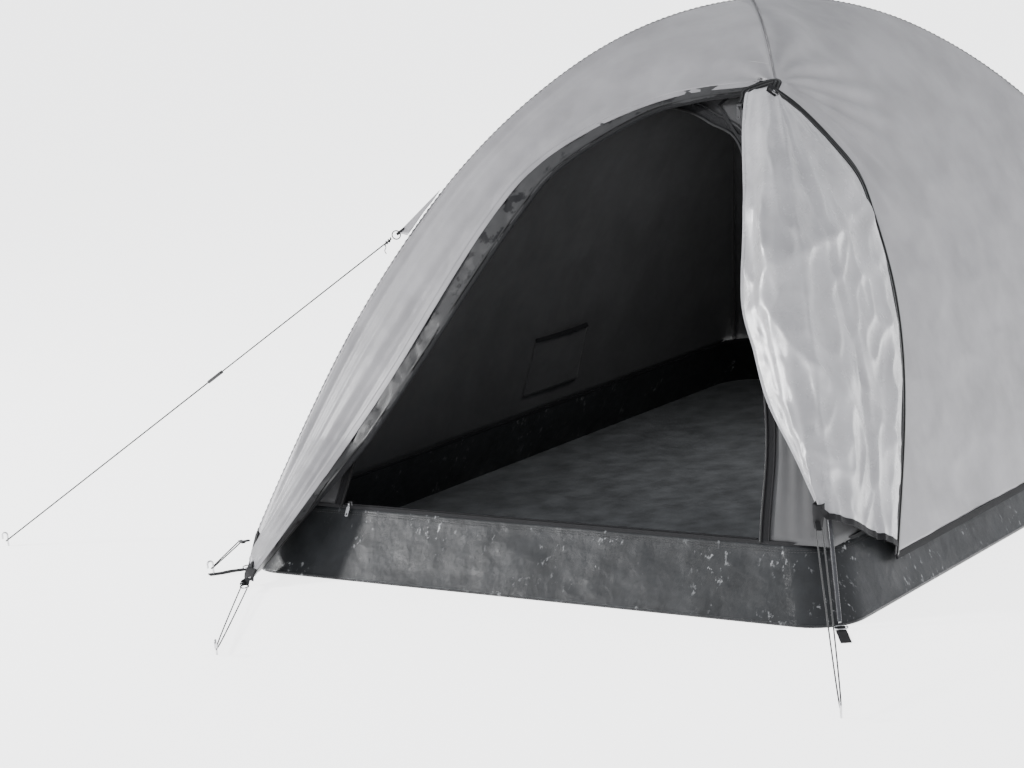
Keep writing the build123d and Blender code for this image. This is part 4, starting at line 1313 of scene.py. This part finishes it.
def make_tip():
    run = (TIP_LOOP - TIP)
    way = run.normalized()
    side = way.cross(UP).normalized()
    points = [TIP + run * (.08 + .55 * i / 12) + UP * (.002 * sin(pi * i / 12)) for i in range(13)]
    strap = ribbon("tip_strap", points, [side.cross(way)] * 13, .015, .0022, webbing)
    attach(strap, ROOT)
    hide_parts("fly_tip_strap")
    centre = TIP + run * .80
    ring = []
    for i in range(17):
        turn = 2 * pi * i / 16
        ring.append(centre + way * .011 * cos(turn) + side * .008 * sin(turn))
    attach(tube("tip_loop", ring, .0036, webbing), ROOT)
    knot_line = []
    for i in range(30):
        turn = 2 * pi * i / 14
        turned = side * (.004 + .0045 * cos(turn)) + UP * (.004 + .004 * sin(turn))
        knot_line.append(TIP + run * .62 + turned + way * (.0006 * i - .008))
    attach(tube("tip_knot", knot_line, .0034, webbing), ROOT)
    rows = []
    for i in range(10):
        foot = TIP + Vector((-.016, .0085, -.004)).lerp(Vector((.020, -.0075, -.004)), i / 9)
        row = []
        for j in range(8):
            row.append(foot + Vector((.002, .012, .022)) * (j / 7) - Vector((0, .004, 0)) * sin(pi * j / 7))
        rows.append(row)
    cap = sheet_from("tip_binding", rows, binding_cloth, None, .0022)
    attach(cap, ROOT)
    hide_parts("fly_tip_binding")


def make_door_tip():
    """Dark reinforcement folded round the lower tip of the door, and the loop for its elastic."""
    centre = Vector((.625, -.986, .196))
    rows = []
    for i in range(13):
        t = i / 12
        z = .219 - .046 * t
        row = []
        for j in range(19):
            turn = pi * (-.15 + 1.3 * j / 18)
            reach = .0135 * (1 - .35 * t ** 2)
            x = centre.x - reach * cos(turn) * .75 + .004 * (1 - t)
            y = centre.y - reach * sin(turn) * .9 + .006
            row.append(Vector((x, y, z)))
        rows.append(row)
    cap = sheet_from("door_tip", rows, binding_cloth, lambda t, s, p: .0008 * ripple(p, 90), .002)
    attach(cap, ROOT)
    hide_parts("fly_door_tip")
    way = (DOOR_PEG - DOOR_LOOP).normalized()
    points = [Vector((.630, -.992, .188)).lerp(DOOR_LOOP + way * .003, i / 8) for i in range(9)]
    loop = ribbon("door_loop", points, [Vector((.6, -.6, .4)).normalized()] * 9, .010, .0026, webbing)
    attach(loop, ROOT)


def dress_nodes():
    """Materials of the CAD nodes that are kept."""
    choice = {"pole_": fibreglass, "ferrules": steel, "pole_pins": steel, "corner_rings": steel, "pegs": steel,
              "shock_cord": elastic_braid, "crossing_tie": webbing, "inner_zip_track": zip_tape,
              "inner_zip_slider": black_metal, "fly_zip_slider": black_metal, "inner_pull_tab": tab_metal,
              "fly_pull_tab": black_metal, "fly_corner_hook": moulded, "guy_ring": moulded,
              "guy_line_adjuster": moulded}
    for name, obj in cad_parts.items():
        for start, material in choice.items():
            if name.startswith(start) and not name.startswith("pole_sleeve"):
                for place in obj.material_slots:
                    place.material = material


# ------------------------------------------------------------------ stage
def make_stage():
    far = 160
    corners = [(-far, -far, -.0002), (far, -far, -.0002), (far, far, -.0002), (-far, far, -.0002)]
    material, tree, node = shader("ground", (.86, .86, .86), .9, 0, .2)
    source = coordinates(tree)
    paint(tree, node, noise_node(tree, source, 2, 3), (.85, .85, .85), (.87, .87, .87))
    node.inputs["Emission Color"].default_value = (1, 1, 1, 1)
    node.inputs["Emission Strength"].default_value = 2.8
    ground = solid_object("ground", corners, [(0, 1, 2, 3)], material)
    world = bpy.data.worlds.new("studio")
    bpy.context.scene.world = world
    world.use_nodes = True
    world.node_tree.nodes["Background"].inputs["Color"].default_value = (.93, .95, 1, 1)
    world.node_tree.nodes["Background"].inputs["Strength"].default_value = .85
    aim_light("key", (-4.9, -3.2, 2.3), (0, -.5, .3), 400, .7)
    aim_light("fill", (1.5, -6.5, 4.5), (.2, -.4, .4), 110, 3.0)
    aim_light("rim", (2.5, 5.0, 4.5), (0, 0, .6), 130, 6.0)
    aim_light("glow", (.02, .12, .84), (.05, .1, 0), 4.0, .24)


def aim_light(name, place, target, power, size):
    data = bpy.data.lights.new(name, "AREA")
    data.energy = power
    data.size = size
    obj = bpy.data.objects.new(name, data)
    obj.location = place
    obj.visible_glossy = name == "key"
    obj.rotation_euler = (Vector(target) - Vector(place)).to_track_quat("-Z", "Y").to_euler()
    bpy.context.scene.collection.objects.link(obj)


make_tray()
make_inner_walls()
make_inner_front()
make_inner_door()
make_pocket()
make_sleeves()
make_fly_front()
make_fly_right()
make_fly_sides()
make_ridge_seams()
make_hem_bindings()
make_storm_flap()
make_door()
make_right_zip()
make_straps()
make_guy_tabs()
make_tip()
make_door_tip()
dress_nodes()
make_stage()
